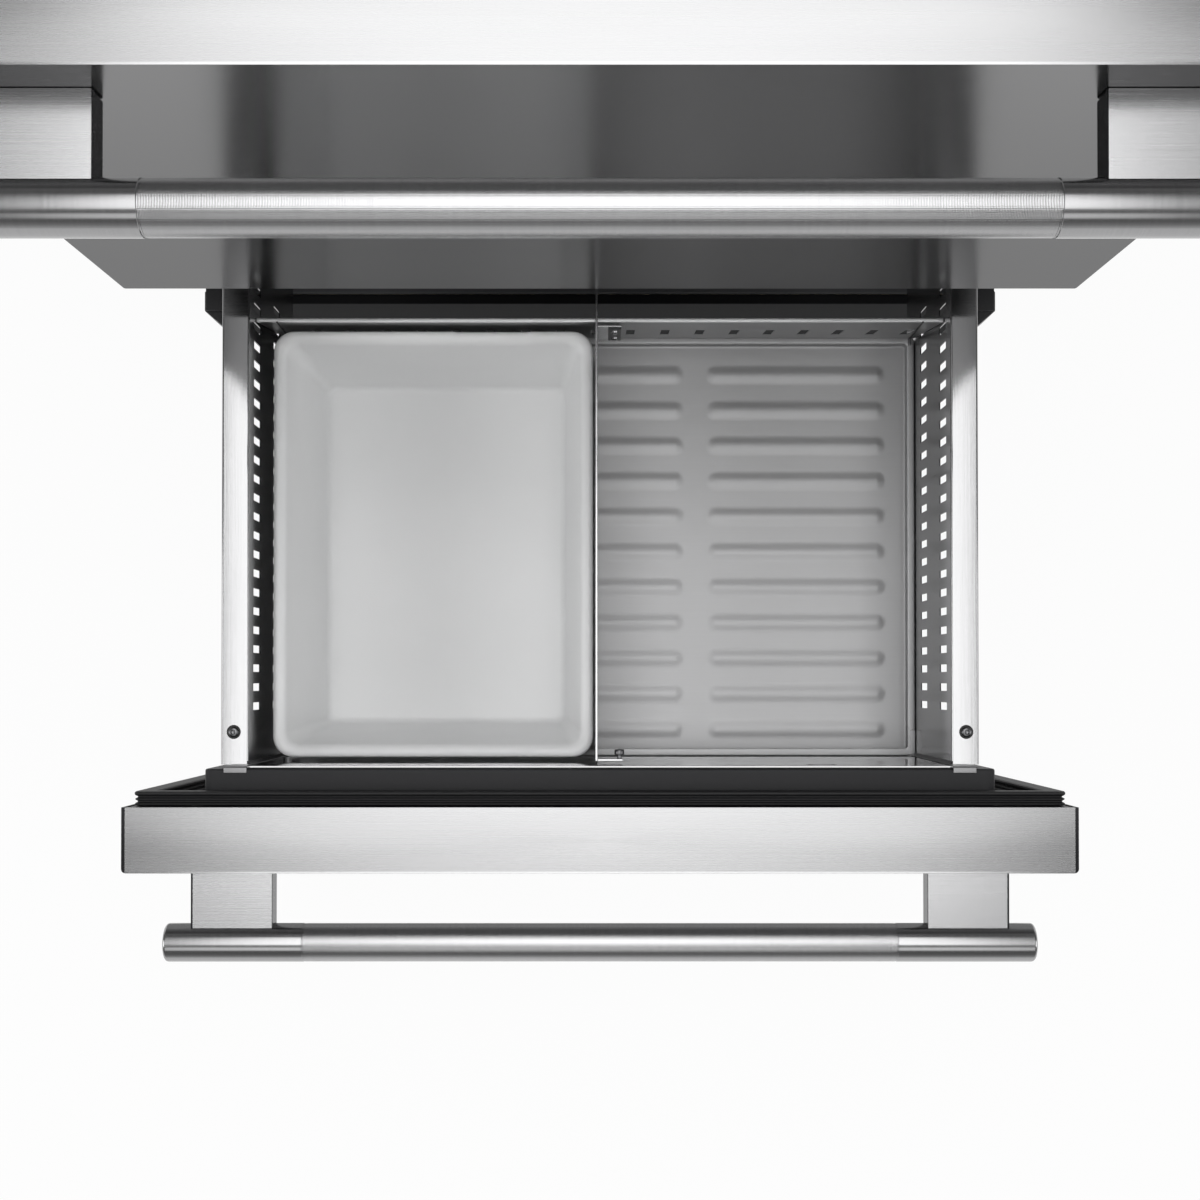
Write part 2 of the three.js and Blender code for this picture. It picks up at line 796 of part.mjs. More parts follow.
// Motor can on three arms behind a round opening.
function motorMount(radius, [x, y, z]) {
  const depth = MOTOR_REACH + 9;
  const can = rod(MOTOR_RADIUS, 18, "y", [x, y + depth, z], 12);
  const arms = [0, 1, 2].map((i) => {
    const arm = box([-3, 3], [y + depth - ARM, y + depth], [8, radius + ARM]);
    return arm.rotate([0, 120 * i + 60, 0]).translate([x, 0, z]);
  });
  const ring = ringPlate(radius + ARM, radius + 1, depth, [x, y + depth / 2, z]);
  return join(ring, can, ...arms);
}

function evaporatorCover() {
  const plate = box([FIT - LINER_HALF, LINER_HALF - FIT], [COVER_Y, COVER_Y + 3], [
    OPENING_BOTTOM + FIT,
    SHELF_Z[0] - FIT,
  ]);
  const inlets = [];
  for (let i = 0; i < 8; i++) {
    const x = -196 + i * 50;
    inlets.push(box([x, x + 36], [COVER_Y - 1, COVER_Y + 4], [226, 234]));
  }
  const holes = [rod(FAN_RADIUS + 1, 20, "y", [FAN_X, COVER_Y, FAN_Z], 20), ...inlets];
  const mount = motorMount(FAN_RADIUS, [FAN_X, COVER_Y + 2, FAN_Z]);
  return cut(join(plate, mount), ...holes);
}

// Hub with five pitched blades, on a short axle into the motor.
function fan(radius, [x, y, z]) {
  const hub = rod(12, 11, "y", [0, 0, 0], 12);
  const blades = [];
  for (let i = 0; i < 5; i++) {
    const paddle = box([-13, 13], [-0.9, 0.9], [9, radius - 2]);
    blades.push(paddle.rotate([0, 0, 24]).rotate([0, 72 * i, 0]));
  }
  const round = rod(radius - 2, 40, "y", [0, 0, 0], 20);
  return join(hub, ...blades)
    .intersect(round)
    .translate([x, y, z]);
}

// Block of fins on a common core.
function finBlock([x0, x1], y, [z0, z1], count) {
  const step = (x1 - x0) / count;
  const middle = (z0 + z1) / 2;
  const slots = [];
  for (let i = 0; i < count; i++) {
    const x = x0 + (i + 0.5) * step;
    slots.push(box([x - step * 0.35, x + step * 0.35], grow(y, 1), [middle + 7, z1 + 1]));
    slots.push(box([x - step * 0.35, x + step * 0.35], grow(y, 1), [z0 - 1, middle - 7]));
  }
  return cut(box([x0, x1], y, [z0, z1]), ...slots);
}

// Crescent mould with its drive housing and its bracket to the ceiling.
function iceMaker() {
  const [y, z] = ICE_SHAFT;
  const mould = box([-212, -58], [y - 34, y + 34], [z - 33, z + 4]);
  const trough = rod(27, 146, "x", [-135, y, z], 20);
  const drive = box([-58.5, -26], [y - 36, y + 36], [z - 38, z + 30]);
  const bracket = box([-212, -26], [y + 33, y + 37], [z - 20, SHELF_Z[0] - FIT]);
  const flange = box([-212, -26], [y + 33, y + 60], [SHELF_Z[0] - 3, SHELF_Z[0] - FIT]);
  const journal = rod(5.4, 60, "x", [-54, y, z], 12);
  const idle = rod(5.4, 30, "x", [-212, y, z], 12);
  return cut(join(mould, drive, bracket, flange), trough, journal, idle);
}

// Shaft with a finger for each cube.
function ejector() {
  const [y, z] = ICE_SHAFT;
  const shaft = rod(4.6, 178, "x", [-125, y, z], 10);
  const fingers = [];
  for (let i = 0; i < 7; i++) {
    const x = -199 + i * 21.3;
    fingers.push(box([x - 1.6, x + 1.6], [y - 2.4, y + 2.4], [z, z + 23]));
  }
  return join(shaft, ...fingers);
}

function controlPanel() {
  const z = [UPPER_TOP - CONTROL_DEPTH, OPENINGS.upper[1] - FIT];
  const housing = alongZ(roundRect(0, 55, 180, 60, 6), z);
  const pockets = BUTTON_X.map((x) =>
    box(centred(x, 18), centred(BUTTON_Y, 12), [z[0] - 1, z[0] + 8]),
  );
  return cut(housing, ...pockets);
}

function button(x) {
  const z = UPPER_TOP - CONTROL_DEPTH;
  return alongZ(roundRect(x, BUTTON_Y, 16.8, 10.8, 2), [z - 1.8, z + 5.5], 2);
}

function lightLens() {
  const z = OPENINGS.upper[1];
  return alongZ(roundRect(0, 120, 130, 34, 6), [z - 8, z - FIT]);
}

// ---------------------------------------------------------------- machine space

function compressor() {
  const shell = turned(
    [
      [0, 0],
      [44, 0],
      [60, 10],
      [64, 40],
      [66, 42],
      [66, 48],
      [60, 88],
      [44, 108],
      [20, 116],
      [0, 117],
    ],
    "z",
    [COMPRESSOR_X, COMPRESSOR_Y, 46],
    12,
  );
  const plate = box(centred(COMPRESSOR_X, 150), centred(COMPRESSOR_Y, 150), [41, 44]);
  const neck = rod(36, 10, "z", [COMPRESSOR_X, COMPRESSOR_Y, 44], 12);
  const feet = centred(COMPRESSOR_X, 124).flatMap((x) =>
    centred(COMPRESSOR_Y, 124).map((y) => rod(9, 12.7, "z", [x, y, 35.65], 10)),
  );
  return join(shell, neck, plate, ...feet);
}

function fanShroud() {
  const y = COOLER_Y;
  const plate = box(centred(COOLER_X, 220), [y, y + 2.5], [MACHINE_FLOOR, MACHINE_TOP - 4]);
  const hole = rod(COOLER_RADIUS + 1, 20, "y", [COOLER_X, y, COOLER_Z], 20);
  return cut(join(plate, motorMount(COOLER_RADIUS, [COOLER_X, y + 1, COOLER_Z])), hole);
}

function dripTray() {
  const outside = box([-225, -115], [366, 474], [164, 184]);
  const inside = box([-222, -118], [369, 471], [167, 190]);
  return cut(outside, inside);
}

function waterValve() {
  const body = box(centred(VALVE_X, 40), [470, 516], centred(VALVE_Z, 38));
  const coil = rod(17, 34, "z", [VALVE_X, 488, 115], 12);
  const inlet = rod(10, 20, "y", [VALVE_X, 521, VALVE_Z], 12);
  const foot = box(centred(VALVE_X, 46), [480, 506], [MACHINE_FLOOR, 64]);
  return join(body, coil, inlet, foot);
}

function powerInlet() {
  const flange = box(centred(CORD_X, 40), [526, 530.7], centred(CORD_Z, 30));
  const gland = turned(
    [
      [0, 0],
      [11, 0],
      [11, 10],
      [7, 22],
      [0, 22],
    ],
    "y",
    [CORD_X, 506, CORD_Z],
    12,
  );
  return join(flange, gland);
}

// ---------------------------------------------------------------- assembly

function cabinet() {
  const group = new THREE.Group();
  const inletHole = rod(12, 30, "y", [VALVE_X, CABINET_DEPTH, VALVE_Z], 12);
  const cordHole = rod(8, 30, "y", [CORD_X, CABINET_DEPTH, CORD_Z], 12);
  group.add(
    piece("cabinet_wrapper", "case", cabinetWrapper()),
    piece("face_frame", "case", faceFrame()),
    piece("upper_liner", "liner", liner("upper")),
    piece("lower_liner", "liner", liner("lower")),
    piece("insulation", "foam", insulation()),
    piece("back_sheet", "zinc", backSheet()),
    piece("rear_service_cover", "zinc", cut(rearCover(), inletHole, cordHole)),
    piece("toe_grille", "stainless", toeGrille()),
    piece("base_pan", "zinc", basePan()),
    piece("evaporator_cover", "liner", evaporatorCover()),
    piece("evaporator", "alloy", finBlock([-220, 220], [428, 470], [250, 418], 14)),
    piece("evaporator_fan", "black", fan(FAN_RADIUS, [FAN_X, COVER_Y + 10.5, FAN_Z])),
    piece("ice_maker", "alloy", iceMaker()),
    piece("ice_ejector", "black", ejector()),
    piece("control_panel", "black", controlPanel()),
    piece("power_button", "alloy", button(BUTTON_X[0])),
    piece("temperature_button", "alloy", button(BUTTON_X[1])),
    piece("light_lens", "lens", lightLens()),
    piece("compressor", "black", compressor()),
    piece("condenser_coil", "slide", finBlock([35, 270], [140, 215], [MACHINE_FLOOR, 186], 12)),
    piece("condenser_fan_shroud", "zinc", fanShroud()),
    piece("condenser_fan", "black", fan(COOLER_RADIUS, [COOLER_X, COOLER_Y + 9.5, COOLER_Z])),
    piece("drip_tray", "bin", dripTray()),
    piece("water_valve", "brass", waterValve()),
    piece("power_inlet", "black", powerInlet()),
  );
  group.add(slides("lower_fixed_slide", LOWER_TOP, fixedSlide));
  group.add(slides("upper_fixed_slide", UPPER_TOP, fixedSlide));
  [-LEG_X, LEG_X].forEach((x, column) => {
    LEG_Y.forEach((y, row) => {
      const name = "leg_" + ["front", "back"][row] + "_" + ["left", "right"][column];
      group.add(piece(name, "black", leg(x, y)));
    });
  });
  return group;
}

const lowerDrawer = drawer(
  "lower",
  [TOE_HEIGHT, LOWER_TOP],
  OPENINGS.lower[0] + 4,
  OPENINGS.lower[0] - GASKET_BAND + 0.5,
);
lowerDrawer.add(
  piece("lower_inner_plate", "polished", innerPlate(LOWER_TOP)),
  piece("divider", "stainless", divider(LOWER_TOP)),
  piece("ice_bin", "bin", iceBin(LOWER_TOP)),
);
lowerDrawer.position.y = FACE_CLOSED - TRAVEL;

const upperDrawer = drawer(
  "upper",
  [LOWER_TOP + FRONT_GAP, UPPER_TOP],
  OPENINGS.upper[0] + 4,
  OPENINGS.upper[0] - GASKET_BAND + 0.5,
);
upperDrawer.position.y = FACE_CLOSED;

const lowerMidSlides = slides("lower_mid_slide", LOWER_TOP, midSlide);
lowerMidSlides.position.y = -TRAVEL / 2;
const upperMidSlides = slides("upper_mid_slide", UPPER_TOP, midSlide);

const refrigerator = new THREE.Group();
refrigerator.add(cabinet(), lowerDrawer, upperDrawer, lowerMidSlides, upperMidSlides);
refrigerator.position.y = -ORIGIN_Y;

export default refrigerator;
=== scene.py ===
from math import cos, pi, radians, sin, tau

import bmesh
import bpy
from mathutils import Matrix, Vector


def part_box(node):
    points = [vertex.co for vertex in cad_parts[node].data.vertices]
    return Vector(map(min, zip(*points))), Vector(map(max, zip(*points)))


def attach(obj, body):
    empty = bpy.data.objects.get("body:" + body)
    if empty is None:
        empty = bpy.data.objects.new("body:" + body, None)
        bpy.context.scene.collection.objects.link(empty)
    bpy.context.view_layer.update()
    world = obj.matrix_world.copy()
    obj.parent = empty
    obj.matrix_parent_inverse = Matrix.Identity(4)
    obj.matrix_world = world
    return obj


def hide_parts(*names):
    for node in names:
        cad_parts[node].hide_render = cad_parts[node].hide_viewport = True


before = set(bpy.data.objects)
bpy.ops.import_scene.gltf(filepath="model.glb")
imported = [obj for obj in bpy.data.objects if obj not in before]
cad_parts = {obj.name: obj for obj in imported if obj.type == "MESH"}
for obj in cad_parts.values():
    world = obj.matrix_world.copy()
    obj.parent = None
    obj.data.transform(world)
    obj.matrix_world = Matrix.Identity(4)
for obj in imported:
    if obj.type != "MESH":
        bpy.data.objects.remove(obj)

scene = bpy.context.scene
scene.view_settings.view_transform = "Standard"
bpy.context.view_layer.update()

# ------------------------------------------------------------------ camera
# The photograph looks almost straight down on the open lower drawer, from a metre above it
# and through a lens of about 50 mm. Its middle lies a little in front of the camera's own axis.
camera = bpy.data.objects.new("camera", bpy.data.cameras.new("camera"))
scene.collection.objects.link(camera)
scene.camera = camera
camera.data.lens = 49.7
camera.data.shift_y = 0.0483
camera.location = (0, -0.3245, 1.532)
camera.rotation_euler = (radians(0.76), 0, 0)

# ------------------------------------------------------------------ studio
# A white floor and a pale room with soft panels overhead, at each side and in front.
# The floor looks white to the camera and in the metal, and still takes the unit's shadow.


class Reading:
    """A socket that adds its own Math nodes when it is used in a sum."""

    def __init__(self, finish, socket):
        self.finish = finish
        self.socket = socket

    def maths(self, operation, *values):
        return self.finish.node("ShaderNodeMath", {"operation": operation}, dict(enumerate(values)))

    def __add__(self, other):
        return self.maths("ADD", self, other)

    def __sub__(self, other):
        return self.maths("SUBTRACT", self, other)

    def __rsub__(self, other):
        return self.maths("SUBTRACT", other, self)

    def __mul__(self, other):
        return self.maths("MULTIPLY", self, other)

    __radd__ = __add__
    __rmul__ = __mul__

    def wave(self, length):
        turn = self * (tau / length)
        return turn.maths("SINE", turn)

    def above(self, limit, width):
        """0 below the limit, 1 above it, with a soft step between."""
        settings = {"interpolation_type": "SMOOTHSTEP"}
        ends = {"Value": self, "From Min": limit - width, "From Max": limit + width}
        return self.finish.node("ShaderNodeMapRange", settings, ends)


class Finish:
    """A material or the world, with the nodes that are added to it."""

    def __init__(self, owner):
        self.owner = owner
        owner.use_nodes = True
        self.tree = owner.node_tree
        self.principled = self.tree.nodes.get("Principled BSDF")

    def feed(self, socket, value):
        if isinstance(value, Reading):
            self.tree.links.new(value.socket, socket)
        else:
            socket.default_value = value

    def node(self, kind, settings=None, inputs=None, output=0):
        made = self.tree.nodes.new(kind)
        for name, value in (settings or {}).items():
            if name == "stops":
                for _ in value[2:]:
                    made.color_ramp.elements.new(1)
                for element, (position, colour) in zip(made.color_ramp.elements, value):
                    element.position = position
                    element.color = (*colour, 1)
            else:
                setattr(made, name, value)
        for key, value in (inputs or {}).items():
            self.feed(made.inputs[key], value)
        return Reading(self, made.outputs[output])

    def between(self, factor, first, second):
        """A colour that runs from the first to the second."""
        first, second = [c if isinstance(c, Reading) else (*c, 1) for c in (first, second)]
        return self.node("ShaderNodeMix", {"data_type": "RGBA"}, {0: factor, 6: first, 7: second}, 2)

    def place(self, scale=(1, 1, 1)):
        """Object coordinates in metres, stretched by the scale."""
        at = self.node("ShaderNodeTexCoord", output="Object")
        return self.node("ShaderNodeMapping", inputs={"Vector": at, "Scale": scale})

    def at(self, axis):
        """One object coordinate, in metres."""
        return self.node("ShaderNodeSeparateXYZ", inputs={0: self.place()}, output="xyz".index(axis))

    def within(self, axis, low, high, width=0.0001):
        """1 between two distances on either side of the middle, and 0 elsewhere."""
        along = self.at(axis)
        distance = along.maths("ABSOLUTE", along)
        return distance.above(low, width) * (1 - distance.above(high, width))

    def noise(self, scale, detail=2.0, roughness=0.5):
        inputs = {"Vector": self.place(scale), "Scale": 1.0, "Detail": detail, "Roughness": roughness}
        return self.node("ShaderNodeTexNoise", inputs=inputs)

    def relief(self, height, depth):
        """A bump from a height of 0 to 1 that stands for a depth in metres."""
        return self.node("ShaderNodeBump", inputs={"Height": height, "Distance": depth, "Strength": 1.0})

    def fed(self, name):
        """What already feeds a socket of the Principled shader."""
        return Reading(self, self.principled.inputs[name].links[0].from_socket)

    def set(self, **values):
        """Feeds the Principled shader, whose sockets are named with _ for each space."""
        for name, value in values.items():
            self.feed(self.principled.inputs[name.replace("_", " ")], value)
        return self.owner


FLOOR_SIZE, FLOOR_GLOW = 14, 0.94
floor_finish = Finish(bpy.data.materials.new("white floor"))
rays = floor_finish.node("ShaderNodeLightPath", output="Is Camera Ray")
for other_rays in ("Is Glossy Ray", "Is Transmission Ray"):
    rays = rays + floor_finish.node("ShaderNodeLightPath", output=other_rays)
matt = floor_finish.node("ShaderNodeBsdfDiffuse", inputs={"Color": (0.9, 0.9, 0.9, 1)})
white = floor_finish.node("ShaderNodeEmission", inputs={"Color": (1, 1, 1, 1), "Strength": 1.0})
shown = floor_finish.node("ShaderNodeMixShader", inputs={0: rays * FLOOR_GLOW, 1: matt, 2: white})
floor_finish.feed(floor_finish.tree.nodes["Material Output"].inputs[0], shown)
bpy.ops.mesh.primitive_plane_add(size=FLOOR_SIZE)
floor = bpy.context.object
floor.name = "floor"
floor.data.materials.append(floor_finish.owner)

world = Finish(bpy.data.worlds.new("room"))
scene.world = world.owner
direction = world.node("ShaderNodeTexCoord", output="Generated")
height = world.node("ShaderNodeSeparateXYZ", inputs={0: direction}, output=2)
# the room's grey from the horizon, at 0, up to the ceiling
ROOM_GREYS = ((0.0, 0.6), (0.1, 0.4), (0.35, 0.2), (0.8, 0.14), (1.0, 0.5))
stops = [(rise, (grey, grey, grey)) for rise, grey in ROOM_GREYS]
room = world.node("ShaderNodeValToRGB", {"stops": stops}, {0: height})
world.feed(world.tree.nodes["Background"].inputs["Color"], room)


def lamp(name, place, aim, size, watts):
    light = bpy.data.lights.new(name, "AREA")
    light.shape = "RECTANGLE"
    light.size, light.size_y = size
    light.energy = watts
    stand = bpy.data.objects.new(name, light)
    stand.location = place
    stand.rotation_euler = (Vector(aim) - Vector(place)).to_track_quat("-Z", "Y").to_euler()
    scene.collection.objects.link(stand)


lamp("overhead panel", (0, 0.3, 2.9), (0, 0.2999, 0), (1.7, 2.2), 30)
lamp("left panel", (-2.4, -0.6, 1.9), (0, -0.1, 0.4), (1.2, 1.6), 20)
lamp("right panel", (2.4, -0.6, 1.9), (0, -0.1, 0.4), (1.2, 1.6), 16)
lamp("front panel", (0, -1.75, 2.45), (0, -0.45, 0.45), (2.0, 0.8), 6)

# ------------------------------------------------------------------ cabinet case
# One wrapper of coated sheet steel makes the sides and top. The coat is a fine dark texture.
# The face frame inside it has a matt black coat, which keeps the mouth of each drawer dark.


def dress(material, *nodes):
    """Gives CAD nodes that keep their own shape a better material."""
    for node in nodes:
        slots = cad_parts[node].data.materials
        slots.clear()
        slots.append(material)


def piece(shape, name, body, slot, material, *stands_for, smooth=35):
    """Turns a bmesh or a mesh into a piece that rides on a body."""
    if isinstance(shape, bmesh.types.BMesh):
        mesh = bpy.data.meshes.new(name)
        shape.to_mesh(mesh)
        shape.free()
    else:
        mesh = shape
        mesh.name = name
    mesh.materials.clear()
    mesh.materials.append(material)
    mesh.shade_smooth()
    mesh.set_sharp_from_angle(angle=radians(smooth))
    made = bpy.data.objects.new(name, mesh)
    scene.collection.objects.link(made)
    weights = made.modifiers.new("broad faces stay flat", "WEIGHTED_NORMAL")
    weights.keep_sharp = True
    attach(made, body)
    if stands_for:
        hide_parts(*stands_for)
    return made


def softened(node, width, steps=2, least=35, folds=None):
    """A copy of a CAD solid whose sharp edges are rounded to a width in metres.

    folds names edges with a wider round: a test of an edge's two ends, and that width."""
    shape = bmesh.new()
    shape.from_mesh(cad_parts[node].data)
    bmesh.ops.remove_doubles(shape, verts=shape.verts, dist=2e-5)
    bmesh.ops.dissolve_limit(shape, angle_limit=radians(1), verts=shape.verts, edges=shape.edges)
    rounds = [(lambda a, b: True, width, steps)]
    if folds:
        rounds.insert(0, (*folds, 4))
    for chosen, round_width, segments in rounds:
        sharp = [
            e for e in shape.edges
            if e.is_manifold and e.calc_face_angle() > radians(least) and chosen(*(v.co for v in e.verts))
        ]
        bmesh.ops.bevel(
            shape, geom=sharp, offset=round_width, segments=segments, profile=0.5,
            affect="EDGES", clamp_overlap=True,
        )
    return shape


def rounded(node, name, body, slot, material, width, steps=2, smooth=35, **rounds):
    """The piece that stands for a CAD solid and keeps its shape, but for rounds on its edges."""
    shape = softened(node, width, steps, **rounds)
    return piece(shape, name, body, slot, material, node, smooth=smooth)


def coated(name, colour, roughness, grain=900, depth=0.00012, **fixed):
    """Sprayed or powdered paint: fine orange peel and a faint drift of tone.

    fixed names sockets of the shader that have one value all over."""
    finish = Finish(bpy.data.materials.new(name))
    peel = finish.noise((grain,) * 3, 3.0)
    drift = finish.noise((7, 7, 7))
    dark = [c * 0.86 for c in colour]
    return finish.set(
        Base_Color=finish.between(drift, dark, colour),
        Roughness=roughness + (peel - 0.5) * 0.16,
        Normal=finish.relief(peel, depth),
        **fixed,
    )


# the dark colour that painted shade gives to steel
PAINTED_SHADE_STEEL = (0.03, 0.03, 0.032)


def brushed(
    name, colour, roughness, grain, depth=0.00004, polish=0.0, painted_light=None, painted_colour=PAINTED_SHADE_STEEL, sheen=0.0
):
    """Brushed metal whose lines run along the axis of the smallest grain number.

    The mask that is passed gives, from the finish, how far the metal turns to a second colour,
    which paints light and shade into it. Its roughness falls there by the sheen."""
    finish = Finish(bpy.data.materials.new(name))
    lines = finish.noise(grain, 4.0, 0.65)
    drift = finish.noise((5, 6, 5), 2.0)
    dark = [c * 0.84 for c in colour]
    tone = finish.between(lines * 0.7 + drift * 0.3, dark, colour)
    gloss = roughness + (lines - 0.5) * 0.1 + (drift - 0.5) * 0.04
    if painted_light:
        share = painted_light(finish)
        tone = finish.between(share, tone, painted_colour)
        gloss = gloss - share * sheen
    return finish.set(
        Metallic=1.0,
        Base_Color=tone,
        Roughness=gloss,
        Normal=finish.relief(lines, depth),
        Anisotropic=polish,
    )


ALONG_X = (9, 1500, 1500)
ALONG_Y = (1500, 9, 1500)
case_coat = coated("dark case coat", (0.052, 0.054, 0.058), 0.46)
rounded("cabinet_wrapper", "case", "cabinet", "case_paint", case_coat, 0.0006, 3)
frame_coat = coated("matt black frame coat", (0.012, 0.012, 0.013), 0.8, Specular_IOR_Level=0.12)
rounded("face_frame", "opening_frame", "cabinet", "case_paint", frame_coat, 0.0008)

# ------------------------------------------------------------------ liners and foam
# Each compartment is lined with one grey vacuum-formed shell. Foam fills the space round both.
# The foam is cream, with open bubbles where it is cut.


def moulded(name, colour, roughness, grain=650, depth=0.00008, **fixed):
    """Moulded plastic with a fine even grain."""
    finish = Finish(bpy.data.materials.new(name))
    pores = finish.noise((grain,) * 3, 4.0, 0.6)
    drift = finish.noise((11, 11, 11), 2.0)
    dark = [c * 0.88 for c in colour]
    return finish.set(
        Base_Color=finish.between(drift, dark, colour),
        Roughness=roughness + (pores - 0.5) * 0.14,
        Normal=finish.relief(pores, depth),
        **fixed,
    )


liner_plastic = moulded("grey liner plastic", (0.1, 0.102, 0.106), 0.42)
foam_finish = Finish(bpy.data.materials.new("insulating foam"))
bubbles = foam_finish.node("ShaderNodeTexVoronoi", inputs={"Vector": foam_finish.place(), "Scale": 420.0})
foam = foam_finish.set(
    Base_Color=foam_finish.between(bubbles, (0.66, 0.6, 0.4), (0.82, 0.77, 0.56)),
    Roughness=0.85 + bubbles * 0.1,
    Normal=foam_finish.relief(bubbles, 0.0006),
)
dress(foam, "insulation")
# a wider round than this closes the narrow face at a liner's mouth
LINER_ROUND = 0.0011
for level in ("lower", "upper"):
    shell, liner = level + "_compartment", level + "_liner"
    rounded(liner, shell, "cabinet", "liner_plastic", liner_plastic, LINER_ROUND, 3)

# ------------------------------------------------------------------ back, base and toe
# The back is closed by a galvanised sheet, with a vented cover over the machine space.
# Both are held by hex-headed screws. The toe grille is a slotted stainless plate.


def galvanised(name, colour):
    """Zinc sheet with its spangle of crystals."""
    finish = Finish(bpy.data.materials.new(name))
    spangle = {"Vector": finish.place(), "Scale": 95.0}
    crystals = finish.node("ShaderNodeTexVoronoi", inputs=spangle, output="Color")
    tone = finish.node("ShaderNodeSeparateColor", inputs={0: crystals})
    drift = finish.noise((6, 6, 6))
    dark = [c * 0.72 for c in colour]
    return finish.set(
        Metallic=0.9,
        Base_Color=finish.between(tone * 0.8 + drift * 0.2, dark, colour),
        Roughness=0.36 + tone * 0.16,
        Normal=finish.relief(finish.noise((500, 500, 500)), 0.00003),
    )


def turned(profile, axis, centre=(0, 0, 0), sides=48):
    """A shape turned on an axis: the profile gives its radius at each height, in metres."""
    shape = bmesh.new()
    wrap = shape.loops.layers.uv.new("wrap")
    girth = tau * max(r for r, _ in profile)
    rings = []
    for radius, rise in profile:
        ring = []
        for i in range(sides):
            a = tau * i / sides
            across, up = radius * cos(a), radius * sin(a)
            spot = {"x": (rise, across, up), "y": (up, rise, across), "z": (across, up, rise)}[axis]
            ring.append(shape.verts.new(Vector(spot) + Vector(centre)))
        rings.append(ring)
    for (low, high), (r0, r1) in zip(zip(rings, rings[1:]), zip(profile, profile[1:])):
        for i in range(sides):
            j = (i + 1) % sides
            side = shape.faces.new((low[i], low[j], high[j], high[i]))
            marks = ((i, r0[1]), (i + 1, r0[1]), (i + 1, r1[1]), (i, r1[1]))
            for loop, (turn, rise) in zip(side.loops, marks):
                loop[wrap].uv = (turn / sides * girth, rise)
    bmesh.ops.remove_doubles(shape, verts=shape.verts, dist=1e-7)
    bmesh.ops.recalc_face_normals(shape, faces=shape.faces)
    return shape


def rows_tree():
    """Geometry Nodes that set copies of one shape in rows and columns."""
    tree = bpy.data.node_groups.new("rows and columns", "GeometryNodeTree")
    kinds = {
        "Geometry": "NodeSocketGeometry",
        "Shape": "NodeSocketObject",
        "Finish": "NodeSocketMaterial",
        "First": "NodeSocketVector",
        "Columns": "NodeSocketInt",
        "Column step": "NodeSocketVector",
        "Rows": "NodeSocketInt",
        "Row step": "NodeSocketVector",
    }
    for name, kind in kinds.items():
        tree.interface.new_socket(name=name, in_out="INPUT", socket_type=kind)
    tree.interface.new_socket(name="Result", in_out="OUTPUT", socket_type="NodeSocketGeometry")

    def add(kind, settings=None, **links):
        node = tree.nodes.new(kind)
        for name, value in (settings or {}).items():
            setattr(node, name, value)
        for name, source in links.items():
            tree.links.new(source, node.inputs[name.replace("_", " ")])
        return node.outputs

    given = add("NodeGroupInput")
    stepped = {"mode": "OFFSET"}
    column = add("GeometryNodeMeshLine", stepped, Count=given["Columns"], Offset=given["Column step"])
    starts = {"Count": given["Rows"], "Start_Location": given["First"], "Offset": given["Row step"]}
    row = add("GeometryNodeMeshLine", stepped, **starts)
    spots = add("GeometryNodeInstanceOnPoints", Points=row[0], Instance=column[0])
    spots = add("GeometryNodeRealizeInstances", Geometry=spots[0])
    shape = add("GeometryNodeObjectInfo", Object=given["Shape"])
    copies = add("GeometryNodeInstanceOnPoints", Points=spots[0], Instance=shape["Geometry"])
    copies = add("GeometryNodeRealizeInstances", Geometry=copies[0])
    copies = add("GeometryNodeSetMaterial", Geometry=copies[0], Material=given["Finish"])
    add("NodeGroupOutput", Result=copies[0])
    return tree


rows_and_columns = rows_tree()


def repeated(shape, material, first, columns=1, column_step=(0, 0, 0), rows=1, row_step=(0, 0, 0)):
    """One mesh of copies of a bmesh shape, set out from the first place in rows and columns."""
    pattern = bpy.data.objects.new("pattern", bpy.data.meshes.new("pattern"))
    shape.to_mesh(pattern.data)
    shape.free()
    carrier = bpy.data.objects.new("carrier", bpy.data.meshes.new("carrier"))
    for helper in (pattern, carrier):
        scene.collection.objects.link(helper)
    modifier = carrier.modifiers.new("rows", "NODES")
    modifier.node_group = rows_and_columns
    wanted = {
        "Shape": pattern,
        "Finish": material,
        "First": first,
        "Columns": columns,
        "Column step": column_step,
        "Rows": rows,
        "Row step": row_step,
    }
    for socket in rows_and_columns.interface.items_tree:
        if socket.name in wanted:
            modifier[socket.identifier] = wanted[socket.name]
    seen = carrier.evaluated_get(bpy.context.evaluated_depsgraph_get())
    mesh = bpy.data.meshes.new_from_object(seen)
    for helper in (carrier, pattern):
        bpy.data.objects.remove(helper)
    return mesh


def joined(*shapes):
    """Several shapes, each a bmesh or a mesh, as one bmesh."""
    whole = bmesh.new()
    for shape in shapes:
        part = shape
        if isinstance(shape, bmesh.types.BMesh):
            part = bpy.data.meshes.new("part")
            shape.to_mesh(part)
            shape.free()
        whole.from_mesh(part)
        bpy.data.meshes.remove(part)
    return whole


def hex_screw(facing=1):
    """A hex-headed sheet screw with its flange, on the Y axis, head towards facing * Y."""
    flange = [(0, -0.0004), (0.0052, -0.0004), (0.0052, 0.0005), (0.0046, 0.0009), (0, 0.0009)]
    hexagon = [(0, 0.0007), (0.0036, 0.0007), (0.0036, 0.0028), (0.0031, 0.0033), (0, 0.0033)]
    head = joined(turned(flange, "y", sides=24), turned(hexagon, "y", sides=6))
    if facing < 0:
        bmesh.ops.rotate(head, verts=head.verts, cent=(0, 0, 0), matrix=Matrix.Rotation(pi, 3, "Z"))
    return head


